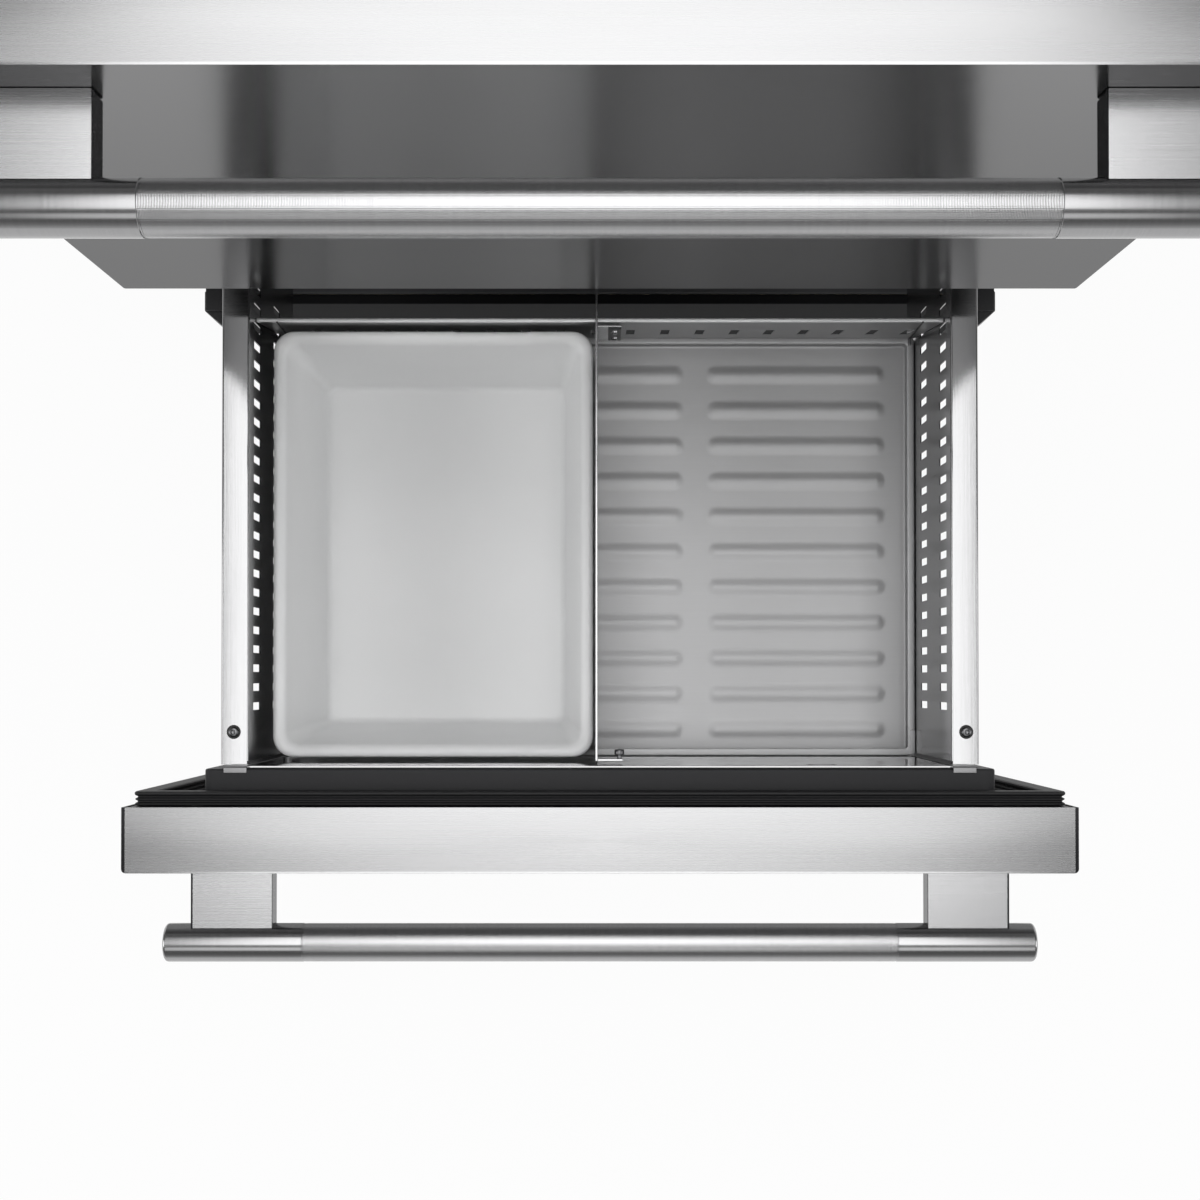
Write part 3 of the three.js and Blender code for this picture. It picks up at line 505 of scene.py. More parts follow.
zinc = galvanised("galvanised sheet", (0.5, 0.51, 0.52))
plated = brushed("plated screws", (0.6, 0.6, 0.58), 0.28, (700, 700, 700))
grille_steel = brushed("toe grille steel", (0.66, 0.66, 0.67), 0.3, ALONG_X)
ZINC_SHEETS = {"back_sheet": "rear_sheet", "rear_service_cover": "machine_cover", "base_pan": "base"}
for node, name in ZINC_SHEETS.items():
    rounded(node, name, "cabinet", "zinc_sheet", zinc, 0.0005)
rounded("toe_grille", "toe_plate", "cabinet", "stainless", grille_steel, 0.0006)

SIDE_INSET = 0.012
SCREWED_ON = [
    # sheet, its screws, the way their heads point, columns, rows, inset from the ends
    ("back_sheet", "rear_sheet_screws", 1, 2, 6, 0.02),
    ("rear_service_cover", "machine_cover_screws", 1, 5, 2, 0.01),
    ("toe_grille", "toe_plate_screws", -1, 2, 1, 0.043),
]
for node, name, facing, columns, rows, end_inset in SCREWED_ON:
    low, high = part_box(node)
    first = (low.x + SIDE_INSET, high.y if facing > 0 else low.y, low.z + end_inset)
    across = (high.x - low.x - 2 * SIDE_INSET) / (columns - 1)
    up = (high.z - low.z - 2 * end_inset) / max(rows - 1, 1)
    screws = repeated(hex_screw(facing), plated, first, columns, (across, 0, 0), rows, (0, 0, up))
    piece(screws, name, "cabinet", "zinc_sheet", plated)

# ------------------------------------------------------------------ machine space
# A welded black compressor, a finned condenser with its fan in a zinc shroud, and a drip tray.
# The water valve is brass, and the power lead leaves through a moulded gland.


def lofted(rings, closed=False, topped=True):
    """A closed skin through rings of points, or a torus when the last ring meets the first.

    A last ring that is pressed flat to a line needs no top."""
    shape = bmesh.new()
    levels = [[shape.verts.new(p) for p in points] for points in rings]
    pairs = list(zip(levels, levels[1:]))
    if closed:
        pairs.append((levels[-1], levels[0]))
    else:
        shape.faces.new(levels[0])
        if topped:
            shape.faces.new(levels[-1])
    for low, high in pairs:
        for i in range(len(low)):
            j = (i + 1) % len(low)
            shape.faces.new((low[i], low[j], high[j], high[i]))
    bmesh.ops.recalc_face_normals(shape, faces=shape.faces)
    return shape


def tube(points, bend, radius, sides=12, bend_steps=6):
    """A round tube along a line of points, whose corners it takes in smooth bends."""
    points = [Vector(p) for p in points]
    parts = [step / bend_steps for step in range(bend_steps + 1)]
    line = [points[0]]
    for before, corner, after in zip(points, points[1:], points[2:]):
        start = corner + (before - corner).normalized() * bend
        end = corner + (after - corner).normalized() * bend
        line += [start.lerp(corner, t).lerp(corner.lerp(end, t), t) for t in parts]
    line.append(points[-1])
    rings, across = [], (line[1] - line[0]).orthogonal()
    for i, point in enumerate(line):
        along = (line[min(i + 1, len(line) - 1)] - line[max(i - 1, 0)]).normalized()
        across = (across - along * across.dot(along)).normalized()
        other = along.cross(across)
        turns = [tau * k / sides for k in range(sides)]
        rings.append([point + (across * cos(a) + other * sin(a)) * radius for a in turns])
    return lofted(rings)


def block(low, high):
    """A plain rectangular block between two corners."""
    size, middle = Vector(high) - Vector(low), (Vector(high) + Vector(low)) / 2
    shape = bmesh.new()
    bmesh.ops.create_cube(shape, size=1, matrix=Matrix.Translation(middle) @ Matrix.Diagonal((*size, 1)))
    return shape


FIN, FIN_INSET = 0.0004, 0.014
COIL_TUBE, COIL_BEND, OPEN_END, BENT_END = 0.0047, 0.009, 0.002, 0.005


def finned_coil(node, material, pitch, rows, loops):
    """Thin fins across rows of tubes. Each loop of tube goes out along X and comes back above."""
    low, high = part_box(node)
    first, last = low.x + FIN_INSET, high.x - FIN_INSET
    fin = block((0, low.y, low.z), (FIN, high.y, high.z))
    coil = [repeated(fin, material, (first, 0, 0), int((last - first) / pitch) + 1, (pitch, 0, 0))]
    row_step, loop_step = (high.y - low.y) / rows, (high.z - low.z) / loops
    near, far = low.x + OPEN_END, high.x - BENT_END
    for row in range(rows):
        y = low.y + (row + 0.5) * row_step
        for loop in range(loops):
            out_z, back_z = [low.z + (loop + part) * loop_step for part in (0.25, 0.75)]
            path = [(near, y, out_z), (far, y, out_z), (far, y, back_z), (near, y, back_z)]
            coil.append(tube(path, COIL_BEND, COIL_TUBE))
    return joined(*coil)


def metres(outline):
    """An outline that is given in millimetres."""
    return [(across * 0.001, up * 0.001) for across, up in outline]


black_enamel = coated("black enamel", (0.018, 0.018, 0.02), 0.32, 500)
fan_plastic = moulded("black fan plastic", (0.024, 0.024, 0.027), 0.42)
coil_black = coated("black coil paint", (0.03, 0.03, 0.031), 0.5, 600)
tray_plastic = moulded("grey tray plastic", (0.035, 0.035, 0.038), 0.5)
brass = brushed("valve brass", (0.62, 0.45, 0.2), 0.34, (300, 300, 300))
copper = brushed("drawn copper", (0.66, 0.32, 0.2), 0.3, (200, 200, 200))

# radius and height in mm: the shell with its weld, the neck under it and one of its mounts
SHELL = [
    (0, 46), (44, 46), (54, 48.5), (60, 54), (62.5, 66), (64, 86), (64.2, 87.6), (66.6, 88),
    (66.9, 88.5), (66.9, 93.5), (66.6, 94), (64.2, 94.4), (63.6, 102), (62, 120), (60, 132),
    (56, 142), (50, 150), (42, 155.5), (32, 159.6), (20, 162), (9, 162.9), (0, 163),
]
NECK = [(0, 43.8), (36, 43.8), (36, 48), (0, 48)]
MOUNT = [(0, 29.3), (9, 29.3), (9.8, 31), (9.8, 34), (7.5, 36), (9, 38), (9, 42), (0, 42)]
PLATE_HALF, PLATE_Z, MOUNT_OUT = 0.075, (0.041, 0.044), 0.062
low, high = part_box("compressor")
x, y = (low.x + high.x) / 2, (low.y + high.y) / 2
shell = turned(metres(SHELL), "z", (x, y, 0), 64)
plate = block((x - PLATE_HALF, y - PLATE_HALF, PLATE_Z[0]), (x + PLATE_HALF, y + PLATE_HALF, PLATE_Z[1]))
neck = turned(metres(NECK), "z", (x, y, 0), 32)
first, apart = (x - MOUNT_OUT, y - MOUNT_OUT, 0), 2 * MOUNT_OUT
mounts = repeated(
    turned(metres(MOUNT), "z", sides=20), black_enamel, first, 2, (apart, 0, 0), 2, (0, apart, 0)
)
compressor = joined(shell, plate, neck, mounts)
piece(compressor, "welded_compressor", "cabinet", "coil_black", black_enamel, "compressor")
TERMINALS = ((-0.026, -0.081, 0.07), (0.026, -0.058, 0.116))
cover = block(*[(x + across, y + along, z) for across, along, z in TERMINALS])
bmesh.ops.bevel(cover, geom=list(cover.edges), offset=0.003, segments=3, profile=0.5, affect="EDGES")
piece(cover, "compressor_terminal_cover", "cabinet", "black_plastic", fan_plastic)

# the discharge line goes round the coil to its first tube, and the suction line up to the foam
LANE_X, COIL_X, COIL_Y = 0.012, 0.037, 0.128
LINE_Z, LINE_BEND = 0.07, 0.014
discharge = [
    (x + 0.06, y - 0.01, LINE_Z), (x + 0.1, y - 0.01, LINE_Z), (LANE_X, y - 0.06, LINE_Z),
    (LANE_X, COIL_Y, LINE_Z), (COIL_X, COIL_Y, LINE_Z),
]
suction = [(x + 0.056, y + 0.02, 0.11), (x + 0.1, y + 0.02, 0.11), (x + 0.1, y + 0.02, 0.1915)]
lines = joined(tube(discharge, LINE_BEND, 0.0032), tube(suction, LINE_BEND, 0.004))
piece(lines, "refrigerant_lines", "cabinet", "valve_brass", copper)

coil = finned_coil("condenser_coil", coil_black, 0.0042, 3, 3)
piece(coil, "condenser_fins", "cabinet", "coil_black", coil_black, "condenser_coil", smooth=50)
rounded("drip_tray", "evaporating_tray", "cabinet", "bin_plastic", tray_plastic, 0.0012, 3)
rounded("water_valve", "inlet_valve", "cabinet", "valve_brass", brass, 0.0008, smooth=50)
rounded("power_inlet", "lead_gland", "cabinet", "black_plastic", fan_plastic, 0.0006)
rounded("condenser_fan_shroud", "fan_shroud", "cabinet", "zinc_sheet", zinc, 0.0004)
for fan in ("condenser_fan", "evaporator_fan"):
    rounded(fan, fan + "_rotor", fan, "black_plastic", fan_plastic, 0.0004, smooth=60, least=50)

# ------------------------------------------------------------------ cold parts
# Behind a grey cover stand the finned evaporator and its fan. The ice maker hangs from the
# ceiling of the lower compartment, and its cast ejector turns between moulded ends.
cast_alloy = coated("cast ejector alloy", (0.5, 0.51, 0.52), 0.4, 700, Metallic=0.9)
lens_plastic = moulded("opal light lens", (0.9, 0.91, 0.88), 0.3, 400)
fin_alloy = brushed("evaporator fins", (0.6, 0.61, 0.62), 0.36, (900, 900, 30))
coil = finned_coil("evaporator", fin_alloy, 0.006, 2, 3)
piece(coil, "evaporator_fins", "cabinet", "cast_alloy", fin_alloy, "evaporator", smooth=50)
rounded("light_lens", "opal_lens", "cabinet", "light_lens", lens_plastic, 0.001, 3)
rounded("evaporator_cover", "cold_cover", "cabinet", "liner_plastic", liner_plastic, 0.001)
rounded("ice_maker", "ice_mould", "cabinet", "black_plastic", fan_plastic, 0.0008)
shaft = "ice_ejector"
rounded(shaft, "ejector_shaft", shaft, "cast_alloy", cast_alloy, 0.0003, smooth=60, least=50)

# ------------------------------------------------------------------ controls
# A moulded black strip on the ceiling of the upper compartment carries two small metal buttons.
# They are pressed upwards, with that drawer open. Each cap is a turned disc, which is wider from
# front to back than its pocket in the strip.
button_metal = brushed("turned button metal", (0.66, 0.67, 0.68), 0.24, (900, 900, 900))
rounded("control_panel", "control_strip", "cabinet", "black_plastic", fan_plastic, 0.0006)
for button in ("power_button", "temperature_button"):
    low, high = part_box(button)
    radius, middle = (high.x - low.x) / 2, (low + high) / 2
    profile = [
        (0, low.z), (radius, low.z), (radius, high.z - 0.0006), (radius - 0.0002, high.z - 0.0002),
        (radius - 0.0006, high.z), (radius * 0.62, high.z), (0, high.z - 0.0005),
    ]
    cap = turned(profile, "z", (middle.x, middle.y, 0))
    piece(cap, button + "_cap", button, "button_metal", button_metal, button)

# ------------------------------------------------------------------ feet
# Four levelling feet screw up into bosses in the base: a wide plastic pad on a plated thread.
# The thread is drawn as rings at a pitch of 1.5 mm. Both outlines are radius and height in mm.
PAD = [
    (0, 0), (18.6, 0), (19.4, 0.4), (20, 1.6), (20, 5.4), (19.6, 6), (12.6, 9.4), (12, 10.2),
    (12, 25), (11.6, 25.5), (5, 25.6), (0, 25.6),
]
PITCH, THREADS, CREST, ROOT = 1.5, 12, 5.2, 4.4
THREAD = [(0, 25), (CREST, 25)]
for turn in range(THREADS):
    z = 25.8 + turn * PITCH
    THREAD += [(CREST, z), (CREST, z + 0.2), (ROOT, z + 0.75), (ROOT, z + 0.9), (CREST, z + 1.45)]
THREAD += [(4.8, 44), (0, 44)]
for foot in ("leg_front_left", "leg_back_left", "leg_front_right", "leg_back_right"):
    low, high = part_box(foot)
    centre = ((low.x + high.x) / 2, (low.y + high.y) / 2, 0)
    pad, thread = [turned(metres(outline), "z", centre, 40) for outline in (PAD, THREAD)]
    piece(pad, foot + "_foot", foot, "black_plastic", fan_plastic, foot, smooth=30)
    piece(thread, foot + "_thread", foot, "zinc_sheet", plated, smooth=20)

# ------------------------------------------------------------------ slides
# Each drawer runs on ball slides of black coated steel: a fixed rail on the cabinet wall, a
# middle member, and the drawer's own channel. Rivets show on the fixed rails.
slide_steel = coated("black slide steel", (0.024, 0.024, 0.026), 0.34, 700, 0.00005)
RIVET = [(0, -0.2), (4.2, -0.2), (4, 0.5), (3.2, 1), (1.8, 1.3), (0, 1.4)]
SLIDE_WEB, RIVETS, RIVET_INSET = 0.002, 5, 0.03
for level in ("lower", "upper"):
    body = level + "_mid_slides"
    for side in ("left", "right"):
        fixed, middle = f"{level}_fixed_slide_{side}", f"{level}_mid_slide_{side}"
        rounded(fixed, fixed + "_rail", "cabinet", "slide_steel", slide_steel, 0.0005)
        rounded(middle, middle + "_rail", body, "slide_steel", slide_steel, 0.0005)
    low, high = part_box(level + "_fixed_slide_right")
    face = high.x - SLIDE_WEB
    step = (high.y - low.y - 2 * RIVET_INSET) / (RIVETS - 1)
    rivets = []
    for side in (-1, 1):
        head = turned([(r, -side * rise) for r, rise in metres(RIVET)], "x", sides=20)
        first = (side * face, low.y + RIVET_INSET, (low.z + high.z) / 2)
        rivets.append(repeated(head, plated, first, RIVETS, (0, step, 0)))
    piece(joined(*rivets), level + "_slide_rivets", "cabinet", "zinc_sheet", plated)


def prism(outline, plane, low, high, width=0.0003, steps=2):
    """An outline in two axes, drawn out along the third, with its edges rounded."""
    at = {
        "yz": lambda u, v, w: (w, u, v),
        "xy": lambda u, v, w: (u, v, w),
        "xz": lambda u, v, w: (u, w, v),
    }[plane]
    shape = bmesh.new()
    first, last = [[shape.verts.new(at(u, v, w)) for u, v in outline] for w in (low, high)]
    shape.faces.new(first)
    shape.faces.new(last)
    for i in range(len(outline)):
        j = (i + 1) % len(outline)
        shape.faces.new((first[i], first[j], last[j], last[i]))
    bmesh.ops.recalc_face_normals(shape, faces=shape.faces)
    sharp = [e for e in shape.edges if e.calc_face_angle() > radians(25)]
    bmesh.ops.bevel(
        shape, geom=sharp, offset=width, segments=steps, profile=0.5, affect="EDGES", clamp_overlap=True
    )
    return shape


def with_mirror(shape):
    """The shape and its mirror image across the middle of the unit."""
    twin = shape.copy()
    for vert in twin.verts:
        vert.co.x = -vert.co.x
    bmesh.ops.reverse_faces(twin, faces=twin.faces)
    return joined(shape, twin)


nose_plastic = moulded("black slide nose plastic", (0.016, 0.016, 0.018), 0.38)
# each middle member's nose from above, in mm from the member's inner front corner
NOSE = [(0.7, -13.5), (3.2, -11.5), (17.2, 0.5), (17.2, 13.5), (12, 16.5), (0.7, 16.5)]
NOSE_INSET = 0.0024
for level in ("lower", "upper"):
    low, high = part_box(level + "_mid_slide_right")
    nose = [(low.x + across, low.y + along) for across, along in metres(NOSE)]
    shape = with_mirror(prism(nose, "xy", low.z + NOSE_INSET, high.z - NOSE_INSET, 0.0006))
    piece(shape, level + "_slide_noses", level + "_mid_slides", "slide_steel", nose_plastic)

# ------------------------------------------------------------------ drawer fronts
# A front is one stainless tray, folded from 1.5 mm sheet with its corners welded and ground.
# It is brushed across its width, and a charcoal moulded panel closes it at the back.
# A drawer's places are taken from its front's face, in Y, and from its front's top edge, in Z.
DRAWERS = {}
for level in ("lower", "upper"):
    low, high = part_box(level + "_front_panel")
    DRAWERS[level] = (round(low.y, 4), round(high.z, 4))
FRONT_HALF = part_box("lower_front_panel")[1].x
BETWEEN_FRONTS = -0.2


def drawer_faces(finish):
    """1 on the upright face of either front, and 0 on the rest of it."""
    depth = finish.at("y")
    lower, upper = [face_y + 0.0012 for face_y, _ in DRAWERS.values()]
    behind_the_lower = depth.above(BETWEEN_FRONTS, 0.01)
    return 1 - depth.above(lower, 0.0005) + behind_the_lower * (1 - depth.above(upper, 0.0005))


# The faces are smoother than the edges. The tint darkens them where they are seen at a shallow
# angle, and a dark line of painted shade is drawn on the fold at either side.
front_steel = brushed(
    "brushed front steel", (0.39, 0.39, 0.393), 0.27, (6, 2000, 2000), 0.000012, 0.5,
    painted_light=drawer_faces, painted_colour=(0.39, 0.39, 0.393), sheen=0.11,
)
edge_steel = Finish(front_steel)
# painted shade: the fold at either side of a front is coloured dark
painted_fold_shade = edge_steel.within("x", FRONT_HALF - 0.0023, FRONT_HALF - 0.0001)
edge_steel.set(
    Base_Color=edge_steel.between(painted_fold_shade, edge_steel.fed("Base Color"), PAINTED_SHADE_STEEL),
    Specular_Tint=(0.36, 0.36, 0.36, 1),
)
charcoal = moulded("charcoal panel plastic", (0.02, 0.02, 0.022), 0.5, 800, Specular_IOR_Level=0.25)
FACE_FOLD = 0.0011
for level in DRAWERS:
    body = level + "_drawer"
    side_x, face_y = FRONT_HALF - 0.0003, DRAWERS[level][0] + 0.0005
    outer = (lambda a, b: min(abs(a.x), abs(b.x)) > side_x or max(a.y, b.y) < face_y, FACE_FOLD)
    front, inner = level + "_front_panel", level + "_inner_panel"
    rounded(front, level + "_front", body, "stainless", front_steel, 0.0005, folds=outer)
    rounded(inner, level + "_plug", body, "charcoal_plastic", charcoal, 0.0014, 3)

# ------------------------------------------------------------------ gaskets
# A black magnetic gasket is pushed into a groove round each inner panel. Its soft bellows fold
# in three between the retaining foot and the flat face that meets the cabinet.


def ring(x_span, v_span, radius, level, plane="xy", per_corner=6, along=1):
    """Points round a rectangle with round corners, in X and Y or in X and Z."""
    (x0, x1), (v0, v1) = x_span, v_span
    corners = [
        (x1 - radius, v1 - radius, 0),
        (x0 + radius, v1 - radius, 1),
        (x0 + radius, v0 + radius, 2),
        (x1 - radius, v0 + radius, 3),
    ]
    flat = []
    for cx, cv, quarter in corners:
        for i in range(per_corner + 1):
            a = (quarter + i / per_corner) * pi / 2
            flat.append((cx + radius * cos(a), cv + radius * sin(a)))
    points = []
    for i, (x, v) in enumerate(flat):
        following = flat[(i + 1) % len(flat)]
        steps = along if (i + 1) % (per_corner + 1) == 0 else 1
        for k in range(steps):
            t = k / steps
            at = (x + (following[0] - x) * t, v + (following[1] - v) * t)
            points.append((at[0], at[1], level) if plane == "xy" else (at[0], level, at[1]))
    return points


gasket_rubber = moulded(
    "black gasket rubber", (0.009, 0.009, 0.01), 0.58, 900, 0.00005, Specular_IOR_Level=0.35
)
# the section of the bellows in mm: inset from the gasket's outer edge, depth behind the front's face
BELLOWS = [
    (1.2, 42.1), (0.3, 42.9), (0.3, 43.7), (1.9, 44.5), (2.0, 45.1), (0.5, 46.0), (0.5, 46.7),
    (2.1, 47.5), (2.1, 48.0), (0.5, 48.8), (0.0, 49.5), (0.1, 50.6), (0.9, 51.3), (11.6, 51.3),
    (12.4, 50.6), (12.5, 49.5), (12.0, 48.8), (10.5, 48.0), (10.5, 47.5), (12.0, 46.7),
    (12.0, 46.0), (10.6, 45.1), (10.7, 44.5), (12.1, 43.7), (12.1, 42.9), (11.3, 42.1),
]
for level, (front_y, _) in DRAWERS.items():
    gasket = level + "_gasket"
    low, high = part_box(gasket)
    rings = []
    for inset, depth in metres(BELLOWS):
        spans = (low.x + inset, high.x - inset), (low.z + inset, high.z - inset)
        rings.append(ring(*spans, max(0.0045 - inset, 0.0006), front_y + depth, "xz"))
    seal = lofted(rings, closed=True)
    piece(seal, level + "_seal", level + "_drawer", "gasket_rubber", gasket_rubber, gasket)

# ------------------------------------------------------------------ pulls
# The pull is one steel bar, smooth at both ends and finely knurled where the hand goes.
# Two flat posts, hollowed to the bar's curve, are screwed on from inside the front.
BAR_JOINT, KNURL = 0.1923, 0.0013
low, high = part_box("lower_handle_bar")
BAR_RADIUS, BAR_HALF = (high.z - low.z) / 2, high.x
knurled = Finish(bpy.data.materials.new("knurled bar steel"))
along = knurled.node("ShaderNodeSeparateXYZ", inputs={0: knurled.place()}, output=0)
grip = 1 - along.maths("ABSOLUTE", along).above(BAR_JOINT, 0.0004)
wrapped = knurled.node("ShaderNodeUVMap", {"uv_map": "wrap"})
round_bar = knurled.node("ShaderNodeSeparateXYZ", inputs={0: wrapped}, output=0)
diamonds = (round_bar + along).wave(KNURL) * (round_bar - along).wave(KNURL)
turning = knurled.noise((1400, 30, 30), 3.0)
bar_steel = knurled.set(
    Metallic=1.0,
    Base_Color=knurled.between(turning * 0.6 + grip * 0.3, (0.33, 0.33, 0.333), (0.44, 0.44, 0.444)),
    Roughness=0.19 + grip * 0.05 + (turning - 0.5) * 0.06,
    Normal=knurled.relief(diamonds * grip * 0.5 + turning * 0.02, 0.00004),
)

# Painted shade darkens the posts' ends, and a painted highlight brightens their undersides.
low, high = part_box("lower_handle_post_right")
POST_INNER, POST_OUTER = low.x, high.x


def painted_post_end_shade(finish):
    """Where shade is painted: 1 on the outer and the inner end of the posts, and 0 between them."""
    outer_end = finish.within("x", POST_OUTER - 0.00125, POST_OUTER + 0.0008)
    return outer_end + (1 - finish.within("x", POST_INNER + 0.0004, 1))


post_steel = brushed("brushed post steel", (0.5, 0.5, 0.505), 0.26, ALONG_X, 0.00002, painted_light=painted_post_end_shade)
# a painted highlight: a near-white band along the bottom 0.4 mm of each post
underside_highlight = Finish(post_steel)
tone = underside_highlight.fed("Base Color")
for level in DRAWERS:
    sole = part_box(level + "_handle_post_left")[0].z
    height = underside_highlight.at("z")
    share = height.above(sole - 0.01, 0.0001) * (1 - height.above(sole + 0.0004, 0.0002))
    tone = underside_highlight.between(share, tone, (0.96, 0.96, 0.96))
underside_highlight.set(Base_Color=tone)
half_bar = [
    (0, BAR_HALF), (0.0098, BAR_HALF), (0.0112, BAR_HALF - 0.0003), (0.0121, BAR_HALF - 0.001),
    (BAR_RADIUS, BAR_HALF - 0.0022), (BAR_RADIUS, BAR_JOINT + 0.0006), (0.0121, BAR_JOINT + 0.0003),
    (0.0121, BAR_JOINT - 0.0003), (0.01235, BAR_JOINT - 0.0006),
]
POST_MIDDLE, POST_ROUND = 0.24, 0.0012


def outer_long_edge(a, b):
    """Whether an edge on a post's outer half runs from the front to the bar."""
    return abs(a.y - b.y) > 0.02 and min(abs(a.x), abs(b.x)) > POST_MIDDLE


for level in DRAWERS:
    body = level + "_drawer"
    low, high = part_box(level + "_handle_bar")
    axis = (0, (low.y + high.y) / 2, (low.z + high.z) / 2)
    bar = turned([(r, -x) for r, x in half_bar] + half_bar[::-1], "x", axis, 64)
    piece(bar, level + "_pull", body, "stainless", bar_steel, level + "_handle_bar")
    for side in ("left", "right"):
        node, name = f"{level}_handle_post_{side}", f"{level}_pull_post_{side}"
        rounded(node, name, body, "stainless", post_steel, 0.0004, folds=(outer_long_edge, POST_ROUND))

# ------------------------------------------------------------------ drawer sides
# Each side is one folded stainless sheet, with two rows of upright slots in the freezer drawer.
# Its top is turned out into a rail, plainer and glossier than the wall, which a pan-headed screw
# fixes near the front. Painted shade darkens the face towards the food below the rail, for the dark
# drawer that it mirrors.
clip_steel = brushed("dull clip steel", (0.24, 0.24, 0.243), 0.3, ALONG_Y, 0.00001)
WALL_X = round(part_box("lower_side_right")[0].x, 4)
RAIL_X, RAIL_FOLD = WALL_X + 0.0007, 0.0014
# the height that parts the drawers, and how far below a side's top the painted shade on its inner face
# sets in
BETWEEN_LEVELS, PAINTED_SHADE_DROP = 0.6, 0.017
LEVEL_STEP = DRAWERS["upper"][1] - DRAWERS["lower"][1]


def painted_wall_shade(finish):
    """Where painted shade falls on the inner face: 0 on the rail and the top of the wall under it, 1 from
    some 30 mm further down.
    """
    height = finish.at("z")
    height = height - height.above(BETWEEN_LEVELS, 0.01) * LEVEL_STEP
    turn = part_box("lower_side_right")[1].z - PAINTED_SHADE_DROP
    return (1 - finish.within("x", RAIL_X, 1)) * (1 - height.above(turn, 0.018))


side_steel = brushed(
    "polished side steel", (0.46, 0.46, 0.464), 0.22, ALONG_Y, 0.00001,
    painted_light=painted_wall_shade, painted_colour=(0.17, 0.17, 0.172),
)
rail_top = Finish(side_steel)
on_the_rail = rail_top.within("x", RAIL_X, 1)
rail_top.set(
    Base_Color=rail_top.between(on_the_rail, rail_top.fed("Base Color"), (0.325, 0.325, 0.328)),
    Roughness=rail_top.fed("Roughness") - on_the_rail * 0.12,
)
for level in DRAWERS:
    for side in ("left", "right"):
        node, name = f"{level}_side_{side}", f"{level}_box_{side}"
        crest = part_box(node)[1].z - 0.0001
        rail_folds = (lambda a, b: min(a.z, b.z) > crest and abs(a.y - b.y) > 0.3, RAIL_FOLD)
        rounded(node, name, level + "_drawer", "stainless", side_steel, 0.0003, folds=rail_folds)


def pan_screw():
    """The head of a pan-headed screw with a round recess, standing on Z."""
    head = [(0, -0.4), (3.5, -0.4), (3.5, 0.4), (3.4, 1.1), (3, 1.7), (2.3, 2)]
    recess = [(1.5, 2.1), (1.2, 1.1), (0, 0.8)]
    return turned(metres(head + recess), "z", sides=32)


screw_steel = brushed("dark screw steel", (0.16, 0.16, 0.165), 0.3, (800, 800, 800))
black_washer = moulded("black washer", (0.01, 0.01, 0.01), 0.5)
WASHER = [(3.4, -0.4), (4.6, -0.4), (4.6, 0.3), (4.3, 0.6), (3.8, 0.7), (3.4, 0.6), (3.4, -0.4)]
# from the front's face to the screws and the hooks, and from its top edge to the rail and the plug
SCREW_X, SCREW_DEPTH, HOOK_X, HOOK_DEPTH = 0.2402, 0.0884, (0.2288, 0.2436), 0.0652
RAIL_DROP, PLUG_DROP = 0.037, 0.024
for level, (front_y, top) in DRAWERS.items():
    body = level + "_drawer"
    rail_z, plug_z = top - RAIL_DROP, top - PLUG_DROP
    first, across = (-SCREW_X, front_y + SCREW_DEPTH, rail_z), (2 * SCREW_X, 0, 0)
    screws = repeated(pan_screw(), screw_steel, first, 2, across)
    piece(screws, level + "_rail_screws", body, "satin_steel", screw_steel)
    washers = repeated(turned(metres(WASHER), "z", sides=32), black_washer, first, 2, across)
    piece(washers, level + "_rail_washers", body, "satin_steel", black_washer)

    hook_y = front_y + HOOK_DEPTH
    hook = [
        (hook_y + 0.0014, rail_z - 0.004), (hook_y + 0.0014, plug_z + 0.0004),
        (hook_y + 0.0005, plug_z + 0.0013), (hook_y - 0.0028, plug_z + 0.0013),
        (hook_y - 0.0028, plug_z + 0.0003), (hook_y, plug_z + 0.0003), (hook_y, rail_z - 0.004),
    ]
    hooks = with_mirror(prism(hook, "yz", *HOOK_X, 0.0002))
    piece(hooks, level + "_rail_hooks", body, "stainless", clip_steel)

# ------------------------------------------------------------------ drawer pans and back walls
# A pressed satin pan with hemmed edges closes the bottom. The freezer pan has rows of ribs
# pressed up in three lengths, and the leaning back wall has a row of upright slots and a hem.
pan_steel = brushed("satin pan steel", (0.6, 0.6, 0.605), 0.56, (12, 900, 900), 0.00002)
# Above this height the back wall is painted light, a painted highlight on the freezer wall's hem. The
# upper drawer's wall stands wholly above it, and so is painted light all over.
HEM_Z = 0.4195
wall_steel = brushed(
    "satin wall steel", (0.3, 0.3, 0.303), 0.36, ALONG_X, 0.00002,
    painted_light=lambda finish: 1 - finish.within("z", 0, HEM_Z), painted_colour=(0.8, 0.8, 0.805),
)
RIB_HALF, RIB_RISE, RIB_PITCH, RIB_ROWS, LAST_RIB = 0.0077, 0.0009, 0.0265, 11, 0.3508
RIB_SPANS = {"left": (-0.214, -0.079), "middle": (-0.0634, 0.0634), "right": (0.079, 0.214)}
RIB_STEPS, RIB_LIFT, HAIR = 8, 0.00002, 0.00001


